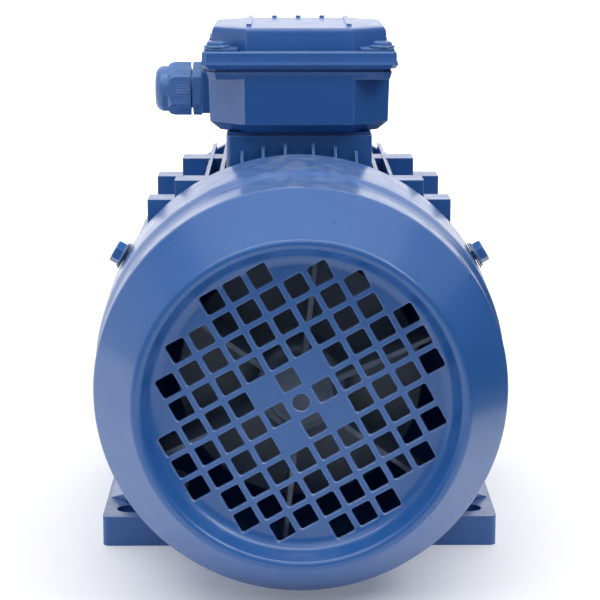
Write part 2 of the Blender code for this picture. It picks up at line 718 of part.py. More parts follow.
def make_bearing_ring(name, station, face_radius, land_radius, groove_radius):
    """Race ring: face_radius touches its seat, land_radius and groove_radius face the balls."""
    half = BEARING_WIDTH / 2
    ring = on_axis(solid(name, (add_lathe, [
        (face_radius, -half), (land_radius, -half), (land_radius, -4.6), (groove_radius, -1.2),
        (groove_radius, 1.2), (land_radius, 4.6), (land_radius, half), (face_radius, half)],
        "Y", (0, 0), 16)))
    shift(ring, y=station)
    return finish(ring, BARE_STEEL)


def add_ball(bm, angle):
    centre = along("Y", BALL_PITCH_RADIUS * math.cos(angle), BALL_PITCH_RADIUS * math.sin(angle), 0)
    place = Matrix.Translation(centre)
    bmesh.ops.create_icosphere(bm, subdivisions=1, radius=BALL_RADIUS * MM, matrix=place)


def make_ball_set(name, station):
    """Balls joined by their cage ring, so that the set turns as one body."""
    cage = on_axis(solid(name, (add_tube, 21.6, 24.4, -2.4, 2.4, "Y", (0, 0), 18)))
    balls = on_axis(solid(name + "_balls", *[
        (add_ball, math.tau * index / BALL_COUNT) for index in range(BALL_COUNT)]))
    fuse(cage, balls)
    for obj in (cage, balls):
        shift(obj, y=station)
    return finish(cage, BARE_STEEL)


def make_ring(name, inner, outer, low, high, look, steps=16):
    return finish(on_axis(solid(name, (add_tube, inner, outer, low, high, "Y", (0, 0), steps))), look)


# ---------------------------------------------------------------- cooling fan

def add_blades(bm):
    for index in range(FAN_BLADES):
        angle = math.radians(24) + math.tau * index / FAN_BLADES
        cosine = math.cos(angle)
        sine = math.sin(angle)
        outline = [(r * cosine - t * sine, r * sine + t * cosine)
                   for r, t in ((FAN_HUB_RADIUS - 3, -1.2), (FAN_RADIUS, -1.2), (FAN_RADIUS, 1.2),
                                (FAN_HUB_RADIUS - 3, 1.2))]
        add_prism(bm, outline, BLADE_REAR, BLADE_FRONT + 0.5)


def make_cooling_fan():
    """Hub and back plate with straight radial blades, so it cools in either direction."""
    fan = on_axis(solid("cooling_fan", (add_lathe, [
        (FAN_BORE_RADIUS + GAP, FAN_SEAT), (FAN_HUB_RADIUS - 2, FAN_SEAT), (FAN_HUB_RADIUS, FAN_SEAT + 3),
        (FAN_HUB_RADIUS + 2, BLADE_FRONT - 4), (58, BLADE_FRONT), (58, FAN_PLATE_FRONT),
        (FAN_BORE_RADIUS + GAP, FAN_PLATE_FRONT)],
        "Y", (0, 0), 32)))
    fuse(fan, on_axis(solid("fan_blades", (add_blades,))))
    return finish(fan, GREY_PLASTIC)


# ---------------------------------------------------------------- terminal box

def corner_points(offset):
    return [(side_x * offset, BOX_Y + side_y * offset) for side_x in (-1, 1) for side_y in (-1, 1)]


def add_window(bm, half, low, high):
    add_box(bm, (-half, BOX_Y - half, low), (half, BOX_Y + half, high))


def make_box_base_gasket():
    gasket = solid("box_base_gasket", (
        add_box, (-35.5, BOX_Y - 37, PEDESTAL_TOP + GAP), (35.5, BOX_Y + 37, BOX_FLOOR_BOTTOM - GAP)))
    cut(gasket, solid("base_gasket_window", (add_window, 22, 200, 215)))
    return finish(gasket, BLACK_RUBBER)


def make_terminal_box_base():
    base = solid("terminal_box_base", (add_loft, [
        box_section(BOX_HALF - 3, BOX_CORNER - 1.2, BOX_FLOOR_BOTTOM),
        box_section(BOX_HALF, BOX_CORNER, BOX_FLOOR_BOTTOM + 3.5),
        box_section(BOX_HALF, BOX_CORNER, BOX_RIM_TOP - 2)]))
    rim = solid("box_rim", (add_loft, [
        box_section(BOX_RIM_HALF, BOX_RIM_CORNER, BOX_RIM_TOP - BOX_RIM_HEIGHT),
        box_section(BOX_RIM_HALF, BOX_RIM_CORNER, BOX_RIM_TOP)]))
    gland_pad = solid("box_gland_pad", (add_disc, 12, GLAND_PAD_X, -43, "X", (BOX_Y, GLAND_Z), 16))
    hollow = solid("box_hollow", (add_loft, [
        box_section(BOX_HOLLOW_HALF, BOX_HOLLOW_CORNER, BOX_FLOOR_TOP),
        box_section(BOX_HOLLOW_HALF, BOX_HOLLOW_CORNER, BOX_RIM_TOP + 5)]))
    window = solid("box_cable_window", (add_window, CABLE_WINDOW_HALF, 205, 216))
    gland_hole = solid("box_gland_hole", (
        add_disc, GLAND_SHANK_RADIUS + GAP, -60, -35, "X", (BOX_Y, GLAND_Z), 24))
    screw_holes = solid("box_screw_holes", *[
        (add_disc, LID_SCREW_RADIUS + GAP, 228, 242, "Z", centre, 12)
        for centre in corner_points(LID_SCREW_OFFSET)])
    for tool in (rim, gland_pad):
        fuse(base, tool)
    for tool in (hollow, window, gland_hole, screw_holes):
        cut(base, tool)
    posts = solid("box_posts", *[
        (add_box, (low_x, BOX_Y - 14, BOX_FLOOR_TOP - 1), (low_x + 8, BOX_Y + 14, BOARD_BOTTOM - GAP))
        for low_x in (-31, 23)])
    fuse(base, posts)
    earth_boss = solid("box_earth_boss", (add_disc, 6, BOX_FLOOR_TOP - 1, 217, "Z", (33, BOX_Y - 26), 16))
    fuse(base, earth_boss)
    earth_hole = solid("box_earth_hole", (add_disc, 2.8, 211.5, 220, "Z", (33, BOX_Y - 26), 12))
    cut(base, earth_hole)
    return finish(base, BLUE_PAINT)


def make_box_lid_gasket():
    gasket = solid("box_lid_gasket", (add_loft, [
        box_section(BOX_HALF, BOX_RIM_CORNER, BOX_RIM_TOP + GAP),
        box_section(BOX_HALF, BOX_RIM_CORNER, LID_BOTTOM - GAP)]))
    opening = solid("lid_gasket_opening", (add_loft, [
        box_section(LID_DOME_HALF - LID_WALL, BOX_HOLLOW_CORNER, BOX_RIM_TOP - 5),
        box_section(LID_DOME_HALF - LID_WALL, BOX_HOLLOW_CORNER, LID_BOTTOM + 5)]))
    holes = solid("lid_gasket_holes", *[
        (add_disc, LID_SCREW_RADIUS + 0.5, 230, 245, "Z", centre, 12)
        for centre in corner_points(LID_SCREW_OFFSET)])
    cut(gasket, opening)
    cut(gasket, holes)
    return finish(gasket, BLACK_RUBBER)


def make_terminal_box_lid():
    lid = solid("terminal_box_lid", (add_loft, [
        box_section(LID_HALF - 0.8, LID_FLANGE_CORNER, LID_BOTTOM),
        box_section(LID_HALF, LID_FLANGE_CORNER, LID_BOTTOM + 2.7),
        box_section(LID_HALF - 0.8, LID_FLANGE_CORNER, LID_FLANGE_TOP)]))
    dome = solid("lid_dome", (add_loft, [
        box_section(LID_DOME_HALF, LID_DOME_CORNER, LID_FLANGE_TOP - 2),
        box_section(LID_DOME_HALF - 0.6, LID_DOME_CORNER, LID_TOP - 1.5),
        box_section(LID_DOME_HALF - 2.2, LID_DOME_CORNER - 0.6, LID_TOP)]))
    pad_centre = (LID_PAD_INNER + LID_PAD_OUTER) / 2
    pad_half = (LID_PAD_OUTER - LID_PAD_INNER) / 2
    pads = solid("lid_pads", *[
        (add_box, (x - pad_half, y - pad_half, LID_FLANGE_TOP - 2), (x + pad_half, y + pad_half, LID_PAD_TOP))
        for x, y in corner_points(pad_centre)])
    ribs = solid("lid_ribs", *[
        (add_box, (x - LID_RIB_HALF_WIDTH, BOX_Y + near, LID_TOP - 1),
         (x + LID_RIB_HALF_WIDTH, BOX_Y + far, LID_TOP + 1.3)) for x, near, far in LID_RIBS])
    hollow = solid("lid_hollow", (add_loft, [
        box_section(LID_DOME_HALF - LID_WALL, LID_DOME_CORNER - 1.5, LID_BOTTOM - 5),
        box_section(LID_DOME_HALF - LID_WALL, LID_DOME_CORNER - 1.5, LID_TOP - 3)]))
    holes = solid("lid_screw_holes", *[
        (add_disc, LID_SCREW_RADIUS + GAP, 235, 260, "Z", centre, 12)
        for centre in corner_points(LID_SCREW_OFFSET)])
    for tool in (pads, dome, ribs):
        fuse(lid, tool)
    for tool in (hollow, holes):
        cut(lid, tool)
    return finish(lid, BLUE_PAINT)


def make_lid_screw(name, x, y):
    """Cheese-head screw with its washer."""
    seat = LID_PAD_TOP + GAP
    screw = solid(name, (add_lathe, [
        (0, LID_SCREW_TIP), (LID_SCREW_RADIUS, LID_SCREW_TIP), (LID_SCREW_RADIUS, seat), (5.2, seat),
        (5.2, seat + 1), (4, seat + 1), (4, seat + 3), (3.2, seat + 3.6), (0, seat + 3.6)], "Z", (0, 0), 8))
    slot = solid(name + "_slot", (add_box, (-5, -0.5, seat + 2.2), (5, 0.5, seat + 5)))
    cut(screw, slot)
    for obj in (screw, slot):
        shift(obj, x, y)
    return finish(screw, ZINC_STEEL)


def stud_places():
    """Name, x, row offset from the board's middle."""
    for row, offset in (("link", STUD_ROW_OFFSET), ("supply", -STUD_ROW_OFFSET)):
        for index, column in enumerate("uvw"):
            yield f"terminal_stud_{row}_{column}", (index - 1) * STUD_SPACING, offset


def make_terminal_board():
    board = solid("terminal_board", (
        add_box, (-31, BOX_Y - 18, BOARD_BOTTOM), (31, BOX_Y + 18, BOARD_TOP)))
    holes = solid("board_holes", *[
        (add_disc, STUD_RADIUS + GAP, 210, 235, "Z", (x, BOX_Y + offset), 8)
        for _, x, offset in stud_places()])
    cut(board, holes)
    barriers = solid("board_barriers", *[
        (add_box, (x - 1, BOX_Y - 17, BOARD_TOP - 1), (x + 1, BOX_Y + 2, BOARD_TOP + 5))
        for x in (-STUD_SPACING / 2, STUD_SPACING / 2)])
    fuse(board, barriers)
    return finish(board, BOARD_RESIN)


def make_terminal_stud(name, x, offset):
    """Threaded stud with its nut; the supply row also has a washer under the nut."""
    washer_radius = STUD_RADIUS if offset > 0 else 4.6
    nut_low = BOARD_TOP + 2 * GAP + 1.2
    stud = solid(name, (add_lathe, [
        (0, 216.6), (3.8, 216.6), (3.8, BOARD_BOTTOM - GAP), (STUD_RADIUS, BOARD_BOTTOM - GAP),
        (STUD_RADIUS, BOARD_TOP + GAP), (washer_radius, BOARD_TOP + GAP), (washer_radius, nut_low),
        (4.6, nut_low), (4.6, nut_low + 4), (STUD_RADIUS, nut_low + 4), (STUD_RADIUS, 238),
        (0, 238)], "Z", (x, BOX_Y + offset), 6))
    return finish(stud, BRASS)


def make_terminal_link():
    """Flat bar that joins the three studs of the link row in star."""
    low = BOARD_TOP + GAP
    link = solid("terminal_link", (
        add_box, (-23, BOX_Y + STUD_ROW_OFFSET - 4, low), (23, BOX_Y + STUD_ROW_OFFSET + 4, low + 1)))
    holes = solid("link_holes", *[
        (add_disc, STUD_RADIUS + GAP, low - 3, low + 3, "Z", (x, BOX_Y + STUD_ROW_OFFSET), 8)
        for x in (-STUD_SPACING, 0, STUD_SPACING)])
    cut(link, holes)
    return finish(link, BRASS)


def make_earth_screw():
    screw = solid("earth_screw", (add_lathe, [
        (0, 212), (2.5, 212), (2.5, 217 + GAP), (5, 217 + GAP), (5, 218.3), (4, 218.3), (4, 221), (0, 221)],
        "Z", (33, BOX_Y - 26), 12))
    return finish(screw, ZINC_STEEL)


# ---------------------------------------------------------------- cable gland

def make_gland_body():
    """Hexagon collar, the thread into the box and the neck that the nut screws onto."""
    centre = (BOX_Y, GLAND_Z)
    body = solid("gland_body", (add_disc, GLAND_HEX_RADIUS, -54.2, GLAND_PAD_X - GAP, "X", centre, 6))
    barrel = solid("gland_barrel", (add_disc, GLAND_SHANK_RADIUS, -63, -37, "X", centre, 16))
    bore = solid("gland_bore", (add_lathe, [
        (0, -70), (8.2, -70), (8.2, -56), (GLAND_BORE_RADIUS, -56), (GLAND_BORE_RADIUS, -30), (0, -30)],
        "X", centre, 16))
    fuse(body, barrel)
    cut(body, bore)
    return finish(body, BLUE_PLASTIC)


def make_gland_nut():
    """Domed hexagon nut that squeezes the seal onto the cable."""
    centre = (BOX_Y, GLAND_Z)
    nut = solid("gland_nut", (add_disc, GLAND_HEX_RADIUS, -66.8, -55.2, "X", centre, 6))
    dome = solid("gland_dome", (add_lathe, [
        (0, -73.5), (7.4, -73.5), (9.4, -72.4), (11.2, -69.9), (12, -66.4), (12, -60), (0, -60)],
        "X", centre, 16))
    bore = solid("gland_nut_bore", (add_lathe, [
        (0, -80), (GLAND_BORE_RADIUS, -80), (GLAND_BORE_RADIUS, -63.4), (GLAND_SHANK_RADIUS + GAP, -63.4),
        (GLAND_SHANK_RADIUS + GAP, -50), (0, -50)], "X", centre, 16))
    fuse(nut, dome)
    cut(nut, bore)
    return finish(nut, BLUE_PLASTIC)


def make_gland_ring(name, inner, outer, low, high, look):
    ring = solid(name, (add_tube, inner, outer, low, high, "X", (BOX_Y, GLAND_Z), 16))
    return finish(ring, look)


def make_rating_plate():
    """Blank rating plate on its pad on the +X side of the frame."""
    low_y, high_y = PLATE_PAD_Y
    low_z, high_z = PLATE_PAD_Z
    plate = solid("rating_plate", (
        add_box, (PLATE_PAD_X + GAP, low_y + PLATE_MARGIN, low_z + PLATE_MARGIN),
        (PLATE_PAD_X + 1.2, high_y - PLATE_MARGIN, high_z - PLATE_MARGIN)))
    return finish(plate, PLATE_ALUMINIUM)


# ---------------------------------------------------------------- assembly

def make_static_parts():
    make_stator_frame()
    for name, side in (("foot_left", -1), ("foot_right", 1)):
        make_foot(name, side)
        for place, station in zip(("rear", "front"), LUG_STATIONS):
            make_foot_bolt(f"{name}_bolt_{place}", side, station)
    make_rear_endshield()
    make_front_endshield()
    for index, angle in enumerate(BOLT_ANGLES, 1):
        make_endshield_bolt(f"rear_endshield_bolt_{index}", angle, REAR_FLANGE_FACE, 1)
        make_endshield_bolt(f"front_endshield_bolt_{index}", angle, FRONT_FLANGE_FACE, -1)
    make_fan_cover()
    for index, angle in enumerate(COVER_SCREW_ANGLES, 1):
        make_cover_screw(f"cover_screw_{index}", angle)
    make_stator_core()
    make_stator_winding()
    make_rating_plate()
    make_ring("preload_washer", 25, 30.6, REAR_BEARING_Y - 9.6, REAR_BEARING_Y - SHOULDER_CLEARANCE,
              BARE_STEEL)
    make_ring("shaft_seal", BEARING_BORE_RADIUS + GAP, 22, FRONT_BEARING_Y + 9, FRONT_BEARING_Y + 14.6,
              BLACK_RUBBER)


def make_terminal_box():
    make_box_base_gasket()
    make_terminal_box_base()
    make_box_lid_gasket()
    make_terminal_box_lid()
    for index, (x, y) in enumerate(corner_points(LID_SCREW_OFFSET), 1):
        make_lid_screw(f"lid_screw_{index}", x, y)
    make_terminal_board()
    for name, x, offset in stud_places():
        make_terminal_stud(name, x, offset)
    make_terminal_link()
    make_earth_screw()
    make_gland_body()
    make_gland_nut()
    make_gland_ring("gland_seal", 4.9, 7.9, -62.8, -56.3, BLACK_RUBBER)
    make_gland_ring("gland_locknut", GLAND_SHANK_RADIUS + GAP, 11.6, -41.7, -38, BLUE_PLASTIC)


def make_bearings():
    """Outer rings and ball sets; returns the two inner rings, which turn with the shaft."""
    inner_rings = []
    for place, station in (("rear", REAR_BEARING_Y), ("front", FRONT_BEARING_Y)):
        make_bearing_ring(f"{place}_bearing_outer", station, BEARING_OUTER_RADIUS, 26, 28)
        make_ball_set(f"{place}_bearing_balls", station)
        inner_rings.append(make_bearing_ring(
            f"{place}_bearing_inner", station, BEARING_BORE_RADIUS + GAP, 20, 18))
    return inner_rings


def make_rotor():
    """The shaft and all that turns with it, parented to the shaft."""
    shaft = make_shaft()
    turning = [make_rotor_core(), make_rotor_cage(), make_shaft_key(), make_cooling_fan(),
               make_ring("fan_circlip", GROOVE_RADIUS + GAP, 15, FAN_SEAT - 1.6, FAN_SEAT - 0.6,
                         BARE_STEEL)]
    turning += make_bearings()
    bpy.context.view_layer.update()
    for obj in turning:
        set_parent(obj, shaft)


def main():
    clear_scene()
    make_static_parts()
    make_terminal_box()
    make_rotor()


main()
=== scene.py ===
"""Looks of the foot-mounted electric motor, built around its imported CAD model.

Axes as in the CAD: +Y along the shaft towards the driven machine, +X to the right as seen from the
fan cover, +Z up. Lengths on the motor are in millimetres, and turned into metres when a mesh is
made. The stage, its lights and its flags are in metres and watts. Named angles are in degrees,
except those that math.radians has already turned.
"""
import math

import bmesh
import bpy
from mathutils import Matrix, Vector


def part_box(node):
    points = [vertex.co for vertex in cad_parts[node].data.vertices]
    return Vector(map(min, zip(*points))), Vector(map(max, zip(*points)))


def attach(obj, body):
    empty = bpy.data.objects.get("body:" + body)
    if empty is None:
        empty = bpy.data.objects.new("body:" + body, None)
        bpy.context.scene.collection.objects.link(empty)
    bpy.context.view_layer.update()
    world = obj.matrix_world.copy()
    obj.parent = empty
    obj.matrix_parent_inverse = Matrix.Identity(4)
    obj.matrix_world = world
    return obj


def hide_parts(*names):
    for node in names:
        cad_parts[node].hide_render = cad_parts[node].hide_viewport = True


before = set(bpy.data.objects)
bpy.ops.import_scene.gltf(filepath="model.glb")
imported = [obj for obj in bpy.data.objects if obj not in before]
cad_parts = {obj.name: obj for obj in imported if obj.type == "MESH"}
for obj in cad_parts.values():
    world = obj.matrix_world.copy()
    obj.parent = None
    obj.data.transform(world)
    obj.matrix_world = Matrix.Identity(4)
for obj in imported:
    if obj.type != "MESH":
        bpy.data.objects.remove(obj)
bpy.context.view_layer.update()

MM = 0.001

# Limits for cleaning a mesh after it is cut: metres and radians
MERGE_DISTANCE = 0.00001
FLAT_ANGLE = math.radians(0.4)


def cad_box(node):
    """A CAD node's lowest and highest corners, in millimetres."""
    low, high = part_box(node)
    return Vector(low) / MM, Vector(high) / MM


# ------------------------------------------------------------------ places, read from the CAD

COVER_LOW, COVER_HIGH = cad_box("fan_cover")
FRAME_LOW, FRAME_HIGH = cad_box("stator_frame")
FOOT_LOW, FOOT_HIGH = cad_box("foot_right")
BASE_LOW, BASE_HIGH = cad_box("terminal_box_base")
LID_LOW, LID_HIGH = cad_box("terminal_box_lid")
NUT_LOW, NUT_HIGH = cad_box("gland_nut")
SHAFT_LOW, SHAFT_HIGH = cad_box("shaft")
KEY_LOW, KEY_HIGH = cad_box("shaft_key")
FAN_LOW, FAN_HIGH = cad_box("cooling_fan")
PLATE_LOW, PLATE_HIGH = cad_box("rating_plate")

AXIS_Z = 100.0
BOX_Y = (LID_LOW.y + LID_HIGH.y) / 2
GLAND_Z = (NUT_LOW.z + NUT_HIGH.z) / 2

# Fan cover: radii, sheet thickness and stations along the shaft
COVER_RADIUS = 95.8
BAND_RADIUS = 98.2
SKIRT_RADIUS = 99.2
SKIRT_HEM = 0.6
SHEET = 1.5
COVER_LIP = COVER_LOW.y
COVER_EDGE = COVER_HIGH.y
COVER_RIM = COVER_LIP + 28
COVER_STEP = COVER_RIM + 32
COVER_BAND = COVER_STEP + 10
COVER_STEPS_AROUND = 160
JOGGLE_STEPS = 8

# Rounding of the cover's front: rim, cone, lip and the dish's fillet
RIM_SETBACK = 3.3
RIM_ROUNDING = 6
CONE_ANGLE = -34
LIP_CREST = 74.4
LIP_ROUNDING = 3
LIP_END_ANGLE = -160
DISH_START = 63.2
DISH_ROUNDING = 7
DISH_ANGLE = 20

# Grille: one round hole amid square ones, which are on the places (u, v) of a tilted lattice where
# u * u + v * v is within the reach. The centre and the places with u and v of 1 or -1 have none.
GRILLE_FRONT = COVER_LIP + 11.5
GRILLE_TILT = math.radians(29.1)
GRILLE_PITCH = (12.16, 11.98)
GRILLE_HOLE = 9.2
GRILLE_CORNER = 1.1
GRILLE_CHAMFER = 0.5
GRILLE_CELLS = 5
GRILLE_REACH_SQUARED = 26
CENTRE_HOLE_RADIUS = 4
CENTRE_HOLE_CHAMFER = 0.3

# Cover screws: radii, distances from the shaft, and the head's height above its seat
COVER_SCREW_Y = COVER_EDGE - 8
COVER_SCREW_ANGLES = (30, 150, 210, 330)
COVER_SCREW_SEAT = SKIRT_RADIUS + 0.2
COVER_SCREW_HEXAGON = 5.5
COVER_SCREW_TOP = 6.1
COVER_SCREW_WASHER = 7.0
COVER_SCREW_TIP = 87
COVER_SCREW_HOLE = 2.9
COVER_SCREW_HOLE_REACH = (90, 110)
COVER_SCREW_BOSS = 6
COVER_SCREW_BOSS_REACH = (75, 96.3)

# Frame casting
BORE_RADIUS = 77.5
BARREL_RADIUS = 82.5
FIN_TIP_RADIUS = 96.5
FIN_OFFSETS = (-47, -39, -28.5, -18, -7, 7, 18, 28.5, 39, 47)
GUSSET_RADIUS = 102.8
GUSSET_OFFSETS = FIN_OFFSETS[2:-2]
GUSSET_HALF_THICKNESS = 0.6
GUSSET_FOOT_Z = 190
GUSSET_DEPTH = 13
LUG_STATIONS = (-52.5, 32.5)
LUG_THICKNESS = 18
LUG_INNER_STEP = (62.5, 84.2)
LUG_OUTER_STEP = (76.2, 74.5)
PEDESTAL_FOOT = 150
PEDESTAL_TOP = FRAME_HIGH.z
PEDESTAL_HALF_WIDTH = 36.5
PEDESTAL_HALF_DEPTH = 38
PEDESTAL_CORNER = 3
CABLE_WINDOW_HALF = 20
CABLE_WINDOW_FOOT = 165
PLATE_PAD_ROOT_X = 70
PLATE_PAD_X = 97.3
PLATE_MARGIN = 3

# End shields, their bolts and the shaft: a bolt's head and washer are each given by a radius and
# two heights above the seat
BOLT_CIRCLE_RADIUS = 86
BOLT_ANGLES = (45, 135, 225, 315)
BOLT_BOSS_RADIUS = 6.5
BOLT_BOSS_LENGTH = 15
BOLT_HOLE = 3.3
BOLT_RADIUS = 3
BOLT_SHANK = 18
BOLT_HEAD = (5.6, 0.9, 4.5)
BOLT_WASHER = (6.1, 0.1, 0.95)
FRONT_FLANGE = 10.3
REAR_FLANGE = -8.3
SHIELD_RIB_HALF_THICKNESS = 1.6
SHAFT_RADIUS = 14
SHAFT_CORE_RADIUS = 20
SHAFT_EXTENSION = 60
KEYWAY_FLOOR = 10
SHAFT_KEY = (50, 8)
KEYWAY_CLEARANCE = 0.6

# Feet
FOOT_THICKNESS = 15.5
FOOT_CORNER = 3.5
FOOT_RIB_X = 98.5
FOOT_RIB_SHOULDER_X = 89.5
FOOT_RIB_HALF_LENGTHS = (50, 61.5)
FOOT_RIB_SLOPE = 0.62
FOOT_SLOT_X = 83.5
FOOT_SLOT_SIZE = (20, 12)
FOOT_HOLE_REACH = 70
FOOT_BOLT_X = 70
FOOT_BOLT_HOLE = 4.3
COUNTERBORE = (6.7, 9.8)
FOOT_CLEARANCE = 0.6
LEDGE_HALF_LENGTH = 57.5

# Terminal box: a pad or a rib is given by its half width and its corners' radius
RIM_HEIGHT = 3.8
FLANGE_HEIGHT = 8.3
LID_PAD = (8.2, 1.6)
PAD_HEIGHT = 1.6
PAD_OFFSET = 38.7
LID_RIB = (1.3, 1.2)
RIB_HEIGHT = 1.3
LID_RIBS = ((-25, -30, 40), (-12.5, 36, 41), (0, 36, 41), (12.5, 36, 41), (25, -30, 40))
LID_SCREW_OFFSET = 41
LID_SCREW_HOLE = 2.5
LID_SCREW_TURN = 25

# Cable gland: its pad as above, radii, and each length's two ends along X
GLAND_PAD = (12, 4)
GLAND_PAD_ROOT_X = -43
GLAND_HOLE = 10.2
GLAND_HOLE_REACH = (-60, -35)
GLAND_BARREL = 9.9
GLAND_BARREL_REACH = (-63, -37)
GLAND_HEX = 13.7
GLAND_BODY_X = -54.2
GLAND_NUT_REACH = (-66.8, -55.2)
GLAND_RIDGES = 60
GLAND_RIDGE_RADIUS = 12.05
GLAND_RIDGE_DEPTH = 0.2
GLAND_RIDGE_REACH = (-62.5, -55.7)

# Fan
BLADE_COUNT = 6
BLADE_START = 24


# ------------------------------------------------------------------ mesh helpers

def along(axis, u, v, w):
    """Point with w millimetres along the named axis and u, v across it, in metres."""
    if axis == "X":
        return Vector((w, u, v)) * MM
    if axis == "Y":
        return Vector((u, w, v)) * MM
    return Vector((u, v, w)) * MM


def arc(centre, radius, start, end, steps=6):
    """Points of a circular arc, angles in degrees."""
    points = []
    for step in range(steps + 1):
        angle = math.radians(start + (end - start) * step / steps)
        points.append((centre[0] + radius * math.cos(angle), centre[1] + radius * math.sin(angle)))
    return points


def add_lathe(bm, profile, axis="Y", centre=(0, AXIS_Z), steps=64):
    """Turn a closed outline of (radius, station); points at radius 0 only close the outline."""
    rings = []
    for radius, station in profile:
        ring = []
        for step in range(steps if radius else 0):
            angle = math.tau * (step + 0.5) / steps
            u = centre[0] + radius * math.cos(angle)
            v = centre[1] + radius * math.sin(angle)
            ring.append(bm.verts.new(along(axis, u, v, station)))
        rings.append(ring)
    for first, second in zip(rings, rings[1:] + rings[:1]):
        if first and second:
            for step in range(steps):
                following = (step + 1) % steps
                bm.faces.new([first[step], first[following], second[following], second[step]])
        elif first or second:
            bm.faces.new(first or second)


def add_disc(bm, radius, low, high, axis="Y", centre=(0, AXIS_Z), steps=48):
    add_lathe(bm, [(0, low), (radius, low), (radius, high), (0, high)], axis, centre, steps)


def add_loft(bm, sections):
    """Skin between closed sections, each a list of points in metres, with flat ends."""
    rings = [[bm.verts.new(point) for point in section] for section in sections]
    for first, second in zip(rings, rings[1:]):
        for index, corner in enumerate(first):
            following = (index + 1) % len(first)
            bm.faces.new([corner, first[following], second[following], second[index]])
    bm.faces.new(rings[0])
    bm.faces.new(rings[-1])


def add_prism(bm, outline, low, high, axis="Y"):
    add_loft(bm, [[along(axis, u, v, station) for u, v in outline] for station in (low, high)])


def add_box(bm, low, high):
    outline = [(low[0], low[1]), (high[0], low[1]), (high[0], high[1]), (low[0], high[1])]
    add_prism(bm, outline, low[2], high[2], "Z")


def add_hull(bm, points):
    verts = [bm.verts.new(Vector(point) * MM) for point in points]
    result = bmesh.ops.convex_hull(bm, input=verts)
    inside = [item for item in result["geom_interior"] if isinstance(item, bmesh.types.BMVert)]
    bmesh.ops.delete(bm, geom=inside, context="VERTS")


def solid(name, *steps):
    """New object made by the given functions, each of which adds to its mesh."""
    bm = bmesh.new()
    for add, *arguments in steps:
        add(bm, *arguments)
    bmesh.ops.recalc_face_normals(bm, faces=bm.faces)
    mesh = bpy.data.meshes.new(name)
    bm.to_mesh(mesh)
    bm.free()
    obj = bpy.data.objects.new(name, mesh)
    bpy.context.collection.objects.link(obj)
    return obj


def apply_modifiers(obj):
    """Replace a mesh by what its modifiers make of it."""
    graph = bpy.context.evaluated_depsgraph_get()
    graph.update()
    mesh = bpy.data.meshes.new_from_object(obj.evaluated_get(graph))
    old = obj.data
    obj.modifiers.clear()
    obj.data = mesh
    bpy.data.meshes.remove(old)


def carve(obj, operation, *tools):
    """Join to obj, or cut from it, each of the tool objects, which are then removed."""
    for tool in tools:
        modifier = obj.modifiers.new("Boolean", "BOOLEAN")
        modifier.solver = "EXACT"
        modifier.operation = operation
        modifier.object = tool
        apply_modifiers(obj)
        mesh = tool.data
        bpy.data.objects.remove(tool)
        bpy.data.meshes.remove(mesh)


def fuse(obj, *tools):
    carve(obj, "UNION", *tools)


def cut(obj, *tools):
    carve(obj, "DIFFERENCE", *tools)


def lathed(name, profile, axis="Y", centre=(0, AXIS_Z), steps=64):
    """New object made by turning a closed outline of (radius, station)."""
    return solid(name, (add_lathe, profile, axis, centre, steps))


def clean(obj):
    """Merge near-equal points and dissolve the flat leftovers of cutting."""
    bm = bmesh.new()
    bm.from_mesh(obj.data)
    bmesh.ops.remove_doubles(bm, verts=bm.verts, dist=MERGE_DISTANCE)
    bmesh.ops.dissolve_limit(bm, angle_limit=FLAT_ANGLE, verts=bm.verts, edges=bm.edges)
    bm.to_mesh(obj.data)
    bm.free()


def round_edges(obj, width, segments=3, angle=32):
    """Bevel every edge sharper than angle."""
    modifier = obj.modifiers.new("Bevel", "BEVEL")
    modifier.width = width * MM
    modifier.segments = segments
    modifier.limit_method = "ANGLE"
    modifier.angle_limit = math.radians(angle)
    modifier.use_clamp_overlap = True
    modifier.miter_outer = "MITER_ARC"
    apply_modifiers(obj)


def smooth(obj, angle=40):
    """Shade smooth, keep edges sharper than angle, and let large faces rule the normals."""
    obj.data.shade_smooth()
    obj.data.set_sharp_from_angle(angle=math.radians(angle))
    modifier = obj.modifiers.new("Weighted normals", "WEIGHTED_NORMAL")
    modifier.keep_sharp = True
    modifier.weight = 80
    apply_modifiers(obj)


def turned(points, angle, centre=(0, 0)):
    """Outline turned by angle, in radians, and moved to centre."""
    cosine = math.cos(angle)
    sine = math.sin(angle)
    return [(centre[0] + u * cosine - v * sine, centre[1] + u * sine + v * cosine)
            for u, v in points]


def rounded_rectangle(half_u, half_v, radius, steps=4):
    """Closed outline of a rectangle with round corners, centred on the origin."""
    points = []
    for sign_u, sign_v, start in ((1, 1, 0), (-1, 1, 90), (-1, -1, 180), (1, -1, 270)):
        centre = (sign_u * (half_u - radius), sign_v * (half_v - radius))
        points += arc(centre, radius, start, start + 90, steps)
    return points


def cut_square(half, corner):
    """Square of half-width half whose corners are cut at 45 degrees."""
    inner = half - corner
    quarter = [(half, -inner), (half, inner)]
    points = []
    for turn in range(4):
        points += turned(quarter, turn * math.pi / 2)
    return points


def slot_outline(centre_u, centre_v, length, width):
    """Slot with round ends, running along the first axis."""
    radius = width / 2
    reach = length / 2 - radius
    right = arc((centre_u + reach, centre_v), radius, -90, 90, 12)
    left = arc((centre_u - reach, centre_v), radius, 90, 270, 12)
    return right + left


def box_loft(name, *sections):
    """Loft through sections of the terminal box, each (half width, corner cut, height)."""
    return solid(name, (add_loft, [
        [along("Z", x, y + BOX_Y, z) for x, y in cut_square(half, corner)]
        for half, corner, z in sections]))


def polar(radius, degrees, centre=(0, AXIS_Z)):
    angle = math.radians(degrees)
    return centre[0] + radius * math.cos(angle), centre[1] + radius * math.sin(angle)


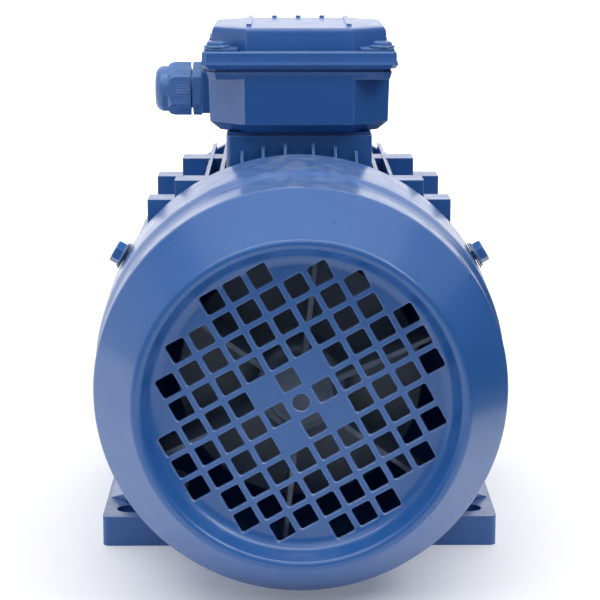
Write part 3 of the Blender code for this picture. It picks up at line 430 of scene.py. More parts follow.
def turn_about_shaft(obj, degrees, station):
    """Bake a turn about the shaft's axis into the mesh of a part made along +X at the origin."""
    turn = Matrix.Rotation(-math.radians(degrees), 4, "Y")
    obj.data.transform(Matrix.Translation(Vector((0, station, AXIS_Z)) * MM) @ turn)
    return obj


def dress(obj, look, body, slot, *nodes):
    """Give a piece its material, the body that it rides on and the CAD nodes that it stands for."""
    obj.data.materials.clear()
    obj.data.materials.append(MATERIALS[look])
    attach(obj, body)
    if nodes:
        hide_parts(*nodes)


def finish_casting(obj, node, width, segments, angle):
    """Clean, round and paint a casting that stands for one CAD node of the stator."""
    clean(obj)
    round_edges(obj, width, segments, angle)
    smooth(obj, 50)
    dress(obj, "cast", "stator", "blue_casting", node)


# ------------------------------------------------------------------ material helpers

class Recipe:
    """A Principled material and short ways to add nodes to it."""

    # Of a Mix node set to colour: its factor and both its colours, and its result
    MIX_INPUTS = (0, 6, 7)
    MIX_RESULT = 2

    def __init__(self, name, **values):
        self.material = bpy.data.materials.new(name)
        self.material.use_nodes = True
        self.tree = self.material.node_tree
        self.shader = self.tree.nodes["Principled BSDF"]
        for socket, value in values.items():
            self.shader.inputs[socket.replace("_", " ")].default_value = value
        self.place = self.add("TexCoord").outputs["Object"]

    def add(self, kind, **inputs):
        node = self.tree.nodes.new("ShaderNode" + kind)
        for name, value in inputs.items():
            self.feed(node.inputs[name.replace("_", " ")], value)
        return node

    def feed(self, socket, value):
        if isinstance(value, bpy.types.NodeSocket):
            self.tree.links.new(value, socket)
        else:
            socket.default_value = value

    def stretch(self, scale):
        """Coordinates scaled by a vector, for grain that runs one way."""
        return self.add("Mapping", Vector=self.place, Scale=scale).outputs["Vector"]

    def noise(self, size, detail=3.0, place=None):
        """Noise whose features are about size millimetres across."""
        node = self.add("TexNoise", Vector=place or self.place, Scale=1 / (size * MM),
                        Detail=detail, Roughness=0.55)
        return node.outputs["Fac"]

    def spread(self, value, low, high, floor=0.3, ceiling=0.7):
        """Map a value between floor and ceiling to the range low to high."""
        node = self.add("MapRange", Value=value, From_Min=floor, From_Max=ceiling, To_Min=low,
                        To_Max=high)
        return node.outputs["Result"]

    def mix(self, factor, first, second):
        """Blend of two colours, each a tuple or a socket."""
        node = self.tree.nodes.new("ShaderNodeMix")
        node.data_type = "RGBA"
        for index, value in zip(self.MIX_INPUTS, (factor, first, second)):
            self.feed(node.inputs[index], (*value, 1) if isinstance(value, tuple) else value)
        return node.outputs[self.MIX_RESULT]

    def math(self, operation, first, second):
        node = self.tree.nodes.new("ShaderNodeMath")
        node.operation = operation
        self.feed(node.inputs[0], first)
        self.feed(node.inputs[1], second)
        return node.outputs[0]

    def edges(self, radius):
        """1 on edges, 0 on flats: how far a rounded normal leans from the true one."""
        bevel = self.tree.nodes.new("ShaderNodeBevel")
        bevel.samples = 4
        bevel.inputs["Radius"].default_value = radius * MM
        normal = self.add("NewGeometry").outputs["Normal"]
        dot = self.tree.nodes.new("ShaderNodeVectorMath")
        dot.operation = "DOT_PRODUCT"
        self.feed(dot.inputs[0], bevel.outputs["Normal"])
        self.feed(dot.inputs[1], normal)
        return self.spread(dot.outputs["Value"], 1.0, 0.0, 0.86, 0.995)

    def upward(self):
        """1 on faces that look almost straight up, 0 on all others."""
        split = self.add("SeparateXYZ", Vector=self.add("NewGeometry").outputs["Normal"])
        return self.spread(split.outputs["Z"], 0.0, 1.0, 0.90, 1.0)

    def bump(self, height, depth, strength, before=None):
        node = self.add("Bump", Height=height, Strength=strength, Distance=depth * MM)
        if before:
            self.feed(node.inputs["Normal"], before)
        return node.outputs["Normal"]

    def set(self, **sockets):
        for name, value in sockets.items():
            self.feed(self.shader.inputs[name.replace("_", " ")], value)
        return self.material


# ------------------------------------------------------------------ materials

PAINT = (0.018, 0.100, 0.338)
PAINT_LIGHT = (0.025, 0.118, 0.375)
PAINT_DARK = (0.011, 0.070, 0.265)
# Lighter blue along the edges: thin paint, and a painted highlight where rounded edges would catch
# the light
EDGE_WEAR_AND_HIGHLIGHT = (0.400, 0.530, 0.78)
BARE_CHIP = (0.55, 0.58, 0.64)
# Lavender grey on upward faces: dust, and a painted sheen for the light that the tops reflect
DUST_AND_SHEEN = (0.40, 0.44, 0.55)
STAIN = (0.30, 0.27, 0.24)
# Distance between the bands of a wave texture whose scale is 1
WAVE_PERIOD = 0.314


def blue_enamel(name, grain, depth, roughness, dusting_and_sheen=0.2):
    """Sprayed blue enamel: drifting tone, fine orange peel, thin paint with a painted highlight
    along the edges, and dust with a painted sheen on upward faces.
    """
    recipe = Recipe(name, Specular_IOR_Level=0.5, Coat_Weight=0.3, Coat_Roughness=0.14)
    drift = recipe.noise(45, 3)
    mottle = recipe.noise(2.2, 4)
    tone = recipe.mix(recipe.spread(drift, 0.15, 0.85), PAINT, PAINT_LIGHT)
    tone = recipe.mix(recipe.spread(mottle, 0.0, 0.06), tone, PAINT_DARK)
    thin = recipe.spread(recipe.noise(3, 3), 0.3, 0.8)
    # Edges lightened: thin paint, and a painted highlight standing in for glints on the rounded
    # edges
    wear_and_highlight = recipe.math("MULTIPLY", recipe.edges(0.7), thin)
    colour = recipe.mix(wear_and_highlight, tone, EDGE_WEAR_AND_HIGHLIGHT)
    rare = recipe.spread(recipe.noise(1.6, 2), 0.0, 0.9, 0.70, 0.74)
    chips = recipe.math("MULTIPLY", recipe.edges(0.45), rare)
    colour = recipe.mix(chips, colour, BARE_CHIP)
    # Upward faces lightened in patches: dust, and a painted sheen on the tops
    patches = recipe.spread(recipe.noise(7, 5), 0.05, dusting_and_sheen, 0.35, 0.65)
    dust_and_sheen = recipe.math("MULTIPLY", recipe.upward(), patches)
    colour = recipe.mix(dust_and_sheen, colour, DUST_AND_SHEEN)
    peel = recipe.bump(recipe.noise(grain, 3), depth, 0.5)
    fine = recipe.bump(recipe.noise(0.35, 2), depth * 0.25, 0.4, peel)
    rough = recipe.spread(recipe.noise(9, 4), roughness - 0.05, roughness + 0.08)
    return recipe.set(Base_Color=colour, Roughness=rough, Normal=fine)


def machined_steel(name, colour, roughness, grain_axis=(1, 60, 1)):
    """Turned or ground steel with fine tool lines and faint stains."""
    recipe = Recipe(name, Metallic=1.0)
    lines = recipe.noise(3, 4, recipe.stretch(grain_axis))
    stain = recipe.noise(14, 4)
    dark = tuple(channel * 0.72 for channel in colour)
    tone = recipe.mix(recipe.spread(lines, 0.0, 0.35), colour, dark)
    tone = recipe.mix(recipe.spread(stain, 0.0, 0.3, 0.5, 0.75), tone, STAIN)
    rough = recipe.spread(lines, roughness - 0.06, roughness + 0.12)
    return recipe.set(Base_Color=tone, Roughness=rough, Normal=recipe.bump(lines, 0.02, 0.35))


def moulded(name, colour, roughness, grain=0.5, depth=0.03, sheen=0.0):
    """Moulded plastic or rubber with a fine matt grain."""
    recipe = Recipe(name, Specular_IOR_Level=0.45, Sheen_Weight=sheen)
    cloud = recipe.noise(18, 3)
    light = tuple(min(1.0, channel * 1.25 + 0.004) for channel in colour)
    rubbed = tuple(min(1.0, channel * 1.7 + 0.02) for channel in colour)
    tone = recipe.mix(recipe.spread(cloud, 0.0, 1.0), colour, light)
    tone = recipe.mix(recipe.math("MULTIPLY", recipe.edges(0.5), 0.45), tone, rubbed)
    rough = recipe.spread(recipe.noise(4, 3), roughness - 0.05, roughness + 0.07)
    matt = recipe.bump(recipe.noise(grain, 3), depth, 0.5)
    return recipe.set(Base_Color=tone, Roughness=rough, Normal=matt)


def layered(name, colour, gap_colour, pitch, metallic, roughness, axis="Y", wobble=0.0):
    """Fine parallel layers, for stacked sheets and for wound wire."""
    recipe = Recipe(name, Metallic=metallic)
    wave = recipe.tree.nodes.new("ShaderNodeTexWave")
    wave.bands_direction = axis
    recipe.feed(wave.inputs["Vector"], recipe.place)
    wave.inputs["Scale"].default_value = WAVE_PERIOD / (pitch * MM)
    wave.inputs["Distortion"].default_value = wobble
    band = wave.outputs["Fac"]
    tone = recipe.mix(recipe.spread(band, 1.0, 0.0, 0.0, 0.5), colour, gap_colour)
    tone = recipe.mix(recipe.spread(recipe.noise(8, 4), 0.0, 0.35), tone, gap_colour)
    return recipe.set(Base_Color=tone, Roughness=recipe.spread(band, roughness + 0.15, roughness),
                      Normal=recipe.bump(band, pitch * 0.4, 0.6))


def make_materials():
    return {
        "sheet": blue_enamel("blue_enamel_sheet", 1.1, 0.008, 0.32, 0.42),
        "cast": blue_enamel("blue_enamel_casting", 0.8, 0.06, 0.36, 0.3),
        "screw": blue_enamel("blue_enamel_screw", 0.6, 0.08, 0.34),
        "steel": machined_steel("turned_steel", (0.50, 0.50, 0.51), 0.28),
        "zinc": machined_steel("zinc_plated_steel", (0.60, 0.61, 0.62), 0.33, (1, 1, 12)),
        "cage": machined_steel("cast_aluminium", (0.62, 0.63, 0.65), 0.42, (1, 1, 1)),
        "brass": machined_steel("brass", (0.70, 0.50, 0.20), 0.28, (1, 1, 20)),
        "plate": machined_steel("brushed_aluminium", (0.70, 0.71, 0.73), 0.30, (1, 1, 50)),
        "rubber": moulded("black_rubber", (0.012, 0.012, 0.013), 0.72, 0.8, 0.05, 0.1),
        "gasket": moulded("gasket_rubber", (0.012, 0.072, 0.270), 0.4, 0.8, 0.03),
        "gland": moulded("blue_polyamide", (0.062, 0.150, 0.370), 0.28),
        "fan": moulded("fan_plastic", (0.120, 0.160, 0.240), 0.34),
        "board": moulded("board_resin", (0.20, 0.055, 0.022), 0.42, 1.2, 0.06),
        "core": layered("core_steel_sheets", (0.24, 0.24, 0.25), (0.06, 0.05, 0.045), 0.6, 0.9,
                        0.42),
        "copper": layered("copper_wire", (0.62, 0.24, 0.09), (0.12, 0.03, 0.01), 0.9, 0.85, 0.3,
                          "X", 1.5),
    }


MATERIALS = make_materials()


# ------------------------------------------------------------------ fan cover

def joggle(inset, backward):
    """Smooth step between the front barrel and the wider rear band, inset from the outer skin."""
    points = []
    for step in range(JOGGLE_STEPS + 1):
        share = step / JOGGLE_STEPS
        rise = share * share * (3 - 2 * share)
        radius = COVER_RADIUS + (BAND_RADIUS - COVER_RADIUS) * rise
        points.append((radius - inset, COVER_STEP + (COVER_BAND - COVER_STEP) * share))
    return points[::-1] if backward else points


def cover_profile():
    """Outer skin from the skirt's edge to the grille, then the inner skin back."""
    hem = (SKIRT_RADIUS - SKIRT_HEM, COVER_EDGE - SKIRT_HEM)
    rim = (COVER_RADIUS - RIM_ROUNDING, COVER_RIM + RIM_SETBACK)
    lip = (LIP_CREST, COVER_LIP + LIP_ROUNDING)
    fillet = (DISH_START, GRILLE_FRONT - DISH_ROUNDING)
    outer = arc(hem, SKIRT_HEM, 90, 0, 3)
    outer += joggle(0, True)
    outer += arc(rim, RIM_ROUNDING, 0, CONE_ANGLE, 7)
    outer += arc(lip, LIP_ROUNDING, CONE_ANGLE, LIP_END_ANGLE, 14)
    outer += arc(fillet, DISH_ROUNDING, DISH_ANGLE, 90, 12)
    inner = arc(fillet, DISH_ROUNDING + SHEET, 90, DISH_ANGLE, 12)
    inner += arc(lip, LIP_ROUNDING - SHEET, LIP_END_ANGLE, CONE_ANGLE, 8)
    inner += arc(rim, RIM_ROUNDING - SHEET, CONE_ANGLE, 0, 6)
    inner += joggle(SHEET, False)
    inner += [(SKIRT_RADIUS - SHEET, COVER_EDGE)]
    return outer + [(0, GRILLE_FRONT), (0, GRILLE_FRONT + SHEET)] + inner


def grille_places():
    """Centres of the square holes, tilted about the cover's centre."""
    cells = range(-GRILLE_CELLS, GRILLE_CELLS + 1)
    for u in cells:
        for v in cells:
            distance = u * u + v * v
            if distance > GRILLE_REACH_SQUARED or distance == 0 or (abs(u), abs(v)) == (1, 1):
                continue
            place = (u * GRILLE_PITCH[0], v * GRILLE_PITCH[1])
            yield turned([place], GRILLE_TILT, (0, AXIS_Z))[0]


def add_funnel(bm, outline, centre, station_low, station_high, flare):
    """Cutter for a punched hole: its mouth opens by flare at both faces of the sheet."""
    beyond = 2
    depths = (station_low - beyond, station_low, station_low + flare,
              station_high - flare, station_high, station_high + beyond)
    sizes = (flare, flare, 0, 0, flare, flare)
    sections = []
    for depth, grow in zip(depths, sizes):
        section = []
        for u, v in outline:
            length = math.hypot(u, v)
            scale = (length + grow) / length
            section.append(along("Y", centre[0] + u * scale, centre[1] + v * scale, depth))
        sections.append(section)
    add_loft(bm, sections)


def make_fan_cover():
    cover = lathed("fan_cover_pressing", cover_profile(), steps=COVER_STEPS_AROUND)
    half = GRILLE_HOLE / 2
    square = turned(rounded_rectangle(half, half, GRILLE_CORNER), GRILLE_TILT)
    circle = arc((0, 0), CENTRE_HOLE_RADIUS, 0, 345, 23)
    low = GRILLE_FRONT
    high = GRILLE_FRONT + SHEET
    holes = [(add_funnel, square, place, low, high, GRILLE_CHAMFER) for place in grille_places()]
    centre_hole = (add_funnel, circle, (0, AXIS_Z), low, high, CENTRE_HOLE_CHAMFER)
    cut(cover, solid("grille_cutter", centre_hole, *holes))
    screw_holes = []
    for angle in COVER_SCREW_ANGLES:
        cutter = solid("screw_cutter", (
            add_disc, COVER_SCREW_HOLE, *COVER_SCREW_HOLE_REACH, "X", (0, 0), 24))
        screw_holes.append(turn_about_shaft(cutter, angle, COVER_SCREW_Y))
    cut(cover, *screw_holes)
    smooth(cover, 35)
    dress(cover, "sheet", "stator", "blue_sheet", "fan_cover")


def make_cover_screws():
    """Flanged hex screws, painted over, each on a black sealing washer."""
    seat = COVER_SCREW_SEAT
    top = seat + COVER_SCREW_TOP
    for index, angle in enumerate(COVER_SCREW_ANGLES, 1):
        screw = lathed(f"cover_screw_{index}_painted", [
            (0, COVER_SCREW_TIP), (2.3, COVER_SCREW_TIP + 0.5), (2.4, COVER_SCREW_TIP + 1),
            (2.4, seat + 0.8), (6.2, seat + 0.8),
            *arc((6.0, seat + 1.3), 0.5, -60, 60, 4),
            (4.6, seat + 2.1), (0, seat + 2.1)], "X", (0, 0), 48)
        head = solid("hexagon", (
            add_disc, COVER_SCREW_HEXAGON, seat + 1.4, top, "X", (0, 0), 6))
        crown = lathed("crown", [
            (0, seat), (7, seat), (7, seat + 4.6), (4.7, top), (4.1, top), (3.6, seat + 5.7),
            (0, seat + 5.7)], "X", (0, 0), 48)
        carve(head, "INTERSECT", crown)
        fuse(screw, head)
        round_edges(screw, 0.25, 2)
        smooth(screw)
        turn_about_shaft(screw, angle, COVER_SCREW_Y)
        dress(screw, "screw", "stator", "blue_screw", f"cover_screw_{index}")
        washer = lathed(f"cover_screw_{index}_washer", [
            (2.7, seat), (COVER_SCREW_WASHER, seat), (COVER_SCREW_WASHER + 0.1, seat + 0.3),
            (COVER_SCREW_WASHER, seat + 0.6), (2.7, seat + 0.6)], "X", (0, 0), 40)
        smooth(turn_about_shaft(washer, angle, COVER_SCREW_Y))
        dress(washer, "rubber", "stator", "black_rubber")


# ------------------------------------------------------------------ frame casting

def finned_outline():
    """Barrel with parallel fins in four groups: above, right, below and left."""
    flank = ((2.1, BARREL_RADIUS), (1.5, BARREL_RADIUS + 1.6), (1.15, FIN_TIP_RADIUS))
    fin = [(-half, radius) for half, radius in flank]
    fin += [(half, radius) for half, radius in flank[::-1]]
    quarter = []
    for offset in FIN_OFFSETS:
        for half, radius in fin:
            across = offset + half
            quarter.append((across, math.sqrt(radius * radius - across * across)))
    quarter += [polar(BARREL_RADIUS, angle, (0, 0)) for angle in (50, 47.5, 45, 42.5, 40)]
    points = []
    for turn in range(4):
        points += turned(quarter, -turn * math.pi / 2, (0, AXIS_Z))
    return points


def lug_outline(side_x, side_z):
    """Stepped lug at one corner of the frame, seen along the shaft."""
    inner_x, inner_z = LUG_INNER_STEP
    outer_x, outer_z = LUG_OUTER_STEP
    corners = [(30, 60), (30, inner_z), (inner_x, inner_z), (inner_x, outer_z),
               (outer_x, outer_z), (outer_x, 45), (70, 36), (50, 40)]
    return [(side_x * x, AXIS_Z + side_z * z) for x, z in corners]


def gusset_corners(offset):
    """Corners of one cast rib that stands in front of the pedestal, in line with a fin."""
    face = BOX_Y - PEDESTAL_HALF_DEPTH
    front = face - GUSSET_DEPTH
    tip = AXIS_Z + math.sqrt(GUSSET_RADIUS ** 2 - offset ** 2)
    section = ((face + 2, GUSSET_FOOT_Z), (front, GUSSET_FOOT_Z), (front, tip - 5.5),
               (face - 1.5, tip), (face + 2, tip))
    return [(offset + side, y, z)
            for side in (-GUSSET_HALF_THICKNESS, GUSSET_HALF_THICKNESS) for y, z in section]


def make_frame():
    casting = solid("frame_casting", (add_prism, finned_outline(), FRAME_LOW.y, FRAME_HIGH.y))
    half = LUG_THICKNESS / 2
    lugs = solid("lugs", *[(add_prism, lug_outline(x, z), station - half, station + half)
                           for x in (-1, 1) for z in (-1, 1) for station in LUG_STATIONS])
    post = turned(rounded_rectangle(PEDESTAL_HALF_WIDTH, PEDESTAL_HALF_DEPTH, PEDESTAL_CORNER, 5),
                  0, (0, BOX_Y))
    pedestal = solid("pedestal", (add_prism, post, PEDESTAL_FOOT, PEDESTAL_TOP, "Z"))
    pad = solid("pad", (
        add_box, (PLATE_PAD_ROOT_X, PLATE_LOW.y - PLATE_MARGIN, PLATE_LOW.z - PLATE_MARGIN),
        (PLATE_PAD_X, PLATE_HIGH.y + PLATE_MARGIN, PLATE_HIGH.z + PLATE_MARGIN)))
    boss_starts = (FRAME_LOW.y + 0.5, FRAME_HIGH.y - 0.5 - BOLT_BOSS_LENGTH)
    bosses = solid("bosses", *[
        (add_disc, BOLT_BOSS_RADIUS, low, low + BOLT_BOSS_LENGTH, "Y",
         polar(BOLT_CIRCLE_RADIUS, angle), 32) for angle in BOLT_ANGLES for low in boss_starts])
    gussets = solid("gussets", *[(add_hull, gusset_corners(x)) for x in GUSSET_OFFSETS])
    fuse(casting, lugs, pedestal, pad, bosses, gussets)
    for angle in COVER_SCREW_ANGLES:
        boss = solid("boss", (
            add_disc, COVER_SCREW_BOSS, *COVER_SCREW_BOSS_REACH, "X", (0, 0), 32))
        fuse(casting, turn_about_shaft(boss, angle, COVER_SCREW_Y))
    bore = solid("bore", (
        add_disc, BORE_RADIUS, FRAME_LOW.y - 5, FRAME_HIGH.y + 5, "Y", (0, AXIS_Z), 96))
    window = solid("window", (
        add_box, (-CABLE_WINDOW_HALF, BOX_Y - CABLE_WINDOW_HALF, CABLE_WINDOW_FOOT),
        (CABLE_WINDOW_HALF, BOX_Y + CABLE_WINDOW_HALF, PEDESTAL_TOP + 5)))
    cut(casting, bore, window)
    finish_casting(casting, "stator_frame", 0.8, 2, 40)


def mirrored_box(bm, side, low, high):
    """Box given for the +X side, or its mirror image."""
    low_x, high_x = sorted((side * low[0], side * high[0]))
    add_box(bm, (low_x, low[1], low[2]), (high_x, high[1], high[2]))


def make_foot(name, side):
    """Cast foot: a bar with a slot at each end and a sloping rib between them."""
    middle = (FOOT_LOW.y + FOOT_HIGH.y) / 2
    centre_x = side * (FOOT_LOW.x + FOOT_HIGH.x) / 2
    half = ((FOOT_HIGH.x - FOOT_LOW.x) / 2, (FOOT_HIGH.y - FOOT_LOW.y) / 2)
    outline = turned(rounded_rectangle(*half, FOOT_CORNER, 5), 0, (centre_x, middle))
    foot = solid(name + "_casting", (add_prism, outline, 0, FOOT_THICKNESS, "Z"))
    rib_inner_x = LUG_OUTER_STEP[0] + 0.5
    rib_points = []
    short, long = FOOT_RIB_HALF_LENGTHS
    for x, y in ((FOOT_RIB_X, short), (FOOT_RIB_SHOULDER_X, long), (rib_inner_x, long)):
        rise = FOOT_RIB_SLOPE * (FOOT_RIB_X - x)
        for end in (-1, 1):
            rib_points.append((side * x, middle + end * y, FOOT_THICKNESS - 2))
            rib_points.append((side * x, middle + end * y, FOOT_THICKNESS + rise))
    ledge_low = (LUG_INNER_STEP[0] + FOOT_CLEARANCE, middle - LEDGE_HALF_LENGTH, 12)
    ledge_high = (rib_inner_x + 0.5, middle + LEDGE_HALF_LENGTH,
                  AXIS_Z - LUG_OUTER_STEP[1] - FOOT_CLEARANCE)
    fuse(foot, solid("rib", (add_hull, rib_points)))
    fuse(foot, solid("ledge", (mirrored_box, side, ledge_low, ledge_high)))
    slots = [slot_outline(side * FOOT_SLOT_X, middle + end * FOOT_HOLE_REACH, *FOOT_SLOT_SIZE)
             for end in (-1, 1)]
    cut(foot, solid("slots", *[(add_prism, slot, -5, 40, "Z") for slot in slots]))
    radius, top = COUNTERBORE
    counterbore = [(0, -5), (radius, -5), (radius, top), (FOOT_BOLT_HOLE, top),
                   (FOOT_BOLT_HOLE, 40), (0, 40)]
    cut(foot, solid("counterbores", *[
        (add_lathe, counterbore, "Z", (side * FOOT_BOLT_X, station), 40)
        for station in LUG_STATIONS]))
    finish_casting(foot, name, 0.9, 3, 30)


# ------------------------------------------------------------------ terminal box

def corner_points(offset):
    return [(x * offset, BOX_Y + y * offset) for x in (-1, 1) for y in (-1, 1)]


def make_box_base():
    floor = BASE_LOW.z
    rim = BASE_HIGH.z
    base = box_loft("terminal_box_base_casting", (39.5, 14.5, floor), (44.8, 17.8, floor + 4.4),
                    (45.3, 18, rim - 2))
    fuse(base, box_loft("rim", (45, 4, rim - RIM_HEIGHT), (46, 4, rim)))
    half, corner = GLAND_PAD
    pad = turned(rounded_rectangle(half, half, corner, 6), 0, (BOX_Y, GLAND_Z))
    fuse(base, solid("pad", (add_prism, pad, BASE_LOW.x, GLAND_PAD_ROOT_X, "X")))
    cut(base, box_loft("hollow", (42, 16.5, floor + 4.6), (42, 16.5, rim + 5)))
    cut(base, solid("window", (
        add_box, (-CABLE_WINDOW_HALF, BOX_Y - CABLE_WINDOW_HALF, floor - 5),
        (CABLE_WINDOW_HALF, BOX_Y + CABLE_WINDOW_HALF, floor + 6))))
    cut(base, solid("gland_hole", (
        add_disc, GLAND_HOLE, *GLAND_HOLE_REACH, "X", (BOX_Y, GLAND_Z), 48)))
    finish_casting(base, "terminal_box_base", 0.7, 3, 30)


def make_box_lid():
    """Lid: a beaded flange with raised corner pads and a ribbed octagonal top."""
    bottom = LID_LOW.z
    flange_top = bottom + FLANGE_HEIGHT
    top = LID_HIGH.z - RIB_HEIGHT
    lid = box_loft("terminal_box_lid_casting", (47.4, 3, bottom), (48.8, 2.4, bottom + 1.9),
                   (48.8, 2.4, bottom + 2.5), (48.1, 2.2, bottom + 4.1),
                   (48, 2.2, flange_top - 0.6), (47.6, 2, flange_top))
    fuse(lid, box_loft("dome", (44.0, 17.7, flange_top - 2), (43.6, 17.5, top - 2.4),
                       (42.8, 17.2, top - 0.7), (41.4, 16.6, top)))
    half, corner = LID_PAD
    pad = rounded_rectangle(half, half, corner)
    fuse(lid, solid("pads", *[
        (add_prism, turned(pad, 0, place), flange_top - 2, flange_top + PAD_HEIGHT, "Z")
        for place in corner_points(PAD_OFFSET)]))
    half, corner = LID_RIB
    ribs = [turned(rounded_rectangle(half, (far - near) / 2, corner), 0,
                   (x, BOX_Y + (near + far) / 2)) for x, near, far in LID_RIBS]
    fuse(lid, solid("ribs", *[(add_prism, rib, top - 1, LID_HIGH.z, "Z") for rib in ribs]))
    cut(lid, box_loft("hollow", (40.5, 16, bottom - 5), (40.5, 16, top - 3)))
    cut(lid, solid("holes", *[
        (add_disc, LID_SCREW_HOLE, bottom - 5, LID_HIGH.z, "Z", place, 24)
        for place in corner_points(LID_SCREW_OFFSET)]))
    finish_casting(lid, "terminal_box_lid", 0.6, 3, 30)


def make_lid_screws():
    """Washer-headed screws with a cross recess, one on each pad of the lid."""
    end = LID_LOW.z - 4.5
    seat = LID_LOW.z + FLANGE_HEIGHT + PAD_HEIGHT + 0.3
    blade = [(-3, -0.45), (3, -0.45), (3, 0.45), (-3, 0.45)]
    for index, place in enumerate(corner_points(LID_SCREW_OFFSET), 1):
        screw = lathed(f"lid_screw_{index}_painted", [
            (0, end), (2.2, end), (2.2, seat), (6.2, seat), (6.4, seat + 0.5), (6.2, seat + 1.0),
            (5.0, seat + 1.1), (4.9, seat + 1.7), *arc((3.6, seat + 1.7), 1.3, 0, 80, 5),
            (0, seat + 3.1)], "Z", place, 40)
        for angle in (LID_SCREW_TURN, LID_SCREW_TURN + 90):
            outline = turned(blade, math.radians(angle), place)
            cut(screw, solid("recess", (add_prism, outline, seat + 1.9, seat + 5, "Z")))
        smooth(screw, 35)
        dress(screw, "screw", "stator", "zinc_steel", f"lid_screw_{index}")


# ------------------------------------------------------------------ cable gland

def make_gland_body():
    centre = (BOX_Y, GLAND_Z)
    body = solid("gland_body_moulding", (
        add_disc, GLAND_HEX, GLAND_BODY_X, BASE_LOW.x - 0.3, "X", centre, 6))
    crown = lathed("crown", [
        (0, -60), (12.9, -54.4), (GLAND_HEX, -53.7), (GLAND_HEX, -49), (0, -45)], "X", centre)
    carve(body, "INTERSECT", crown)
    fuse(body, solid("barrel", (
        add_disc, GLAND_BARREL, *GLAND_BARREL_REACH, "X", centre, 64)))
    cut(body, lathed("bore", [
        (0, -70), (8.2, -70), (8.2, -56), (6, -56), (6, -30), (0, -30)], "X", centre, 48))
    clean(body)
    round_edges(body, 0.35, 2)
    smooth(body)
    dress(body, "gland", "stator", "blue_plastic", "gland_body")


def make_gland_nut():
    """Domed nut: a hexagon whose round body between the facets is finely ridged for grip."""
    centre = (BOX_Y, GLAND_Z)
    nut = solid("gland_nut_moulding", (add_disc, GLAND_HEX, *GLAND_NUT_REACH, "X", centre, 6))
    crown = lathed("crown", [
        (0, -71.4), (11.6, -67.4), (13.2, -65.4), (GLAND_HEX, -63.4), (GLAND_HEX, -50),
        (0, -50)], "X", centre)
    carve(nut, "INTERSECT", crown)
    fuse(nut, lathed("dome", [
        (0, -73.5), (7.2, -73.5), *arc((7.2, -69), 4.5, -90, -5, 8), (11.6, -65.4),
        (11.9, -64.4), (11.9, -56), (11.6, -55.2), (0, -55.2)], "X", centre))
    corners = 2 * GLAND_RIDGES
    ridges = [polar(GLAND_RIDGE_RADIUS + GLAND_RIDGE_DEPTH * math.cos(math.pi * step),
                    360 * step / corners, centre) for step in range(corners)]
    fuse(nut, solid("ridges", (add_prism, ridges, *GLAND_RIDGE_REACH, "X")))
    cut(nut, lathed("bore", [
        (0, -80), (7.2, -80), (6.2, -72.6), (6, -71.4), (6, -63.4), (10.2, -63.4),
        (10.2, -50), (0, -50)], "X", centre, 48))
    clean(nut)
    round_edges(nut, 0.2, 2, 40)
    smooth(nut)
    dress(nut, "gland", "stator", "blue_plastic", "gland_nut")


# ------------------------------------------------------------------ end shields, bolts, shaft

def hex_bolt(name, centre, seat, direction):
    """Hexagon bolt along the shaft's direction, with a washer under its head."""
    def disc(radius, near, far, steps):
        low, high = sorted((seat + direction * near, seat + direction * far))
        return add_disc, radius, low, high, "Y", centre, steps
    head = solid(name, disc(*BOLT_HEAD, 6))
    crown = [(radius, seat + direction * height)
             for radius, height in ((0, 0), (6, 0), (6, 3.5), (4.8, 4.6), (0, 4.6))]
    carve(head, "INTERSECT", lathed("crown", crown, "Y", centre, 40))
    fuse(head, solid("washer", disc(*BOLT_WASHER, 40)))
    fuse(head, solid("shank", disc(BOLT_RADIUS, 0.5, -BOLT_SHANK, 24)))
    round_edges(head, 0.2, 2)
    smooth(head)
    return head


def from_station(origin, points):
    """Profile whose stations are offsets from origin."""
    return [(radius, origin + offset) for radius, offset in points]


def radial_ribs(section, origin, start):
    """Eight radial ribs of an end shield, from their section of (radius, offset)."""
    edges = (-SHIELD_RIB_HALF_THICKNESS, SHIELD_RIB_HALF_THICKNESS)
    ribs = []
    for angle in range(0, 360, 45):
        corners = []
        for radius, offset in section:
            pair = [(radius, edge) for edge in edges]
            for x, z in turned(pair, math.radians(angle + start), (0, AXIS_Z)):
                corners.append((x, origin + offset, z))
        ribs.append((add_hull, corners))
    return solid("ribs", *ribs)


def make_front_endshield():
    end = FRAME_HIGH.y
    shield = lathed("front_endshield_casting", from_station(end, [
        (22.3, 38), (41, 38), *arc((42, 35.5), 2.5, 90, 10, 5), (47, 21),
        *arc((51, 19.5), 3, 190, 250, 4), (79, FRONT_FLANGE), (92, FRONT_FLANGE),
        (93, FRONT_FLANGE - 1), (93, 0.3), (77.2, 0.3), (77.2, -7), (72, -7), (72, 4), (42, 13),
        (37, 15), (31.3, 15), (31.3, 31.6), (22.3, 31.6)]), steps=128)
    fuse(shield, radial_ribs(((42, 31), (42, 15), (80, 8), (84, 11.2)), end, 0))
    cut(shield, solid("holes", *[
        (add_disc, BOLT_HOLE, end - 7, end + 18, "Y", polar(BOLT_CIRCLE_RADIUS, angle), 24)
        for angle in BOLT_ANGLES]))
    finish_casting(shield, "front_endshield", 0.6, 2, 40)


def make_rear_endshield():
    end = FRAME_LOW.y
    shield = lathed("rear_endshield_casting", from_station(end, [
        (17, -25), (37, -25), (39.5, -23.5), (43, -17), (79, REAR_FLANGE), (91, REAR_FLANGE),
        (92, REAR_FLANGE + 1), (92, -0.3), (77.2, -0.3), (77.2, 6), (72, 6), (72, -4), (42, -9),
        (37, -2), (31.3, -2), (31.3, -20), (17, -20)]), steps=96)
    fuse(shield, radial_ribs(((40, -22.5), (40, -8), (80, -6), (80, -9)), end, 22.5))
    finish_casting(shield, "rear_endshield", 0.6, 2, 40)


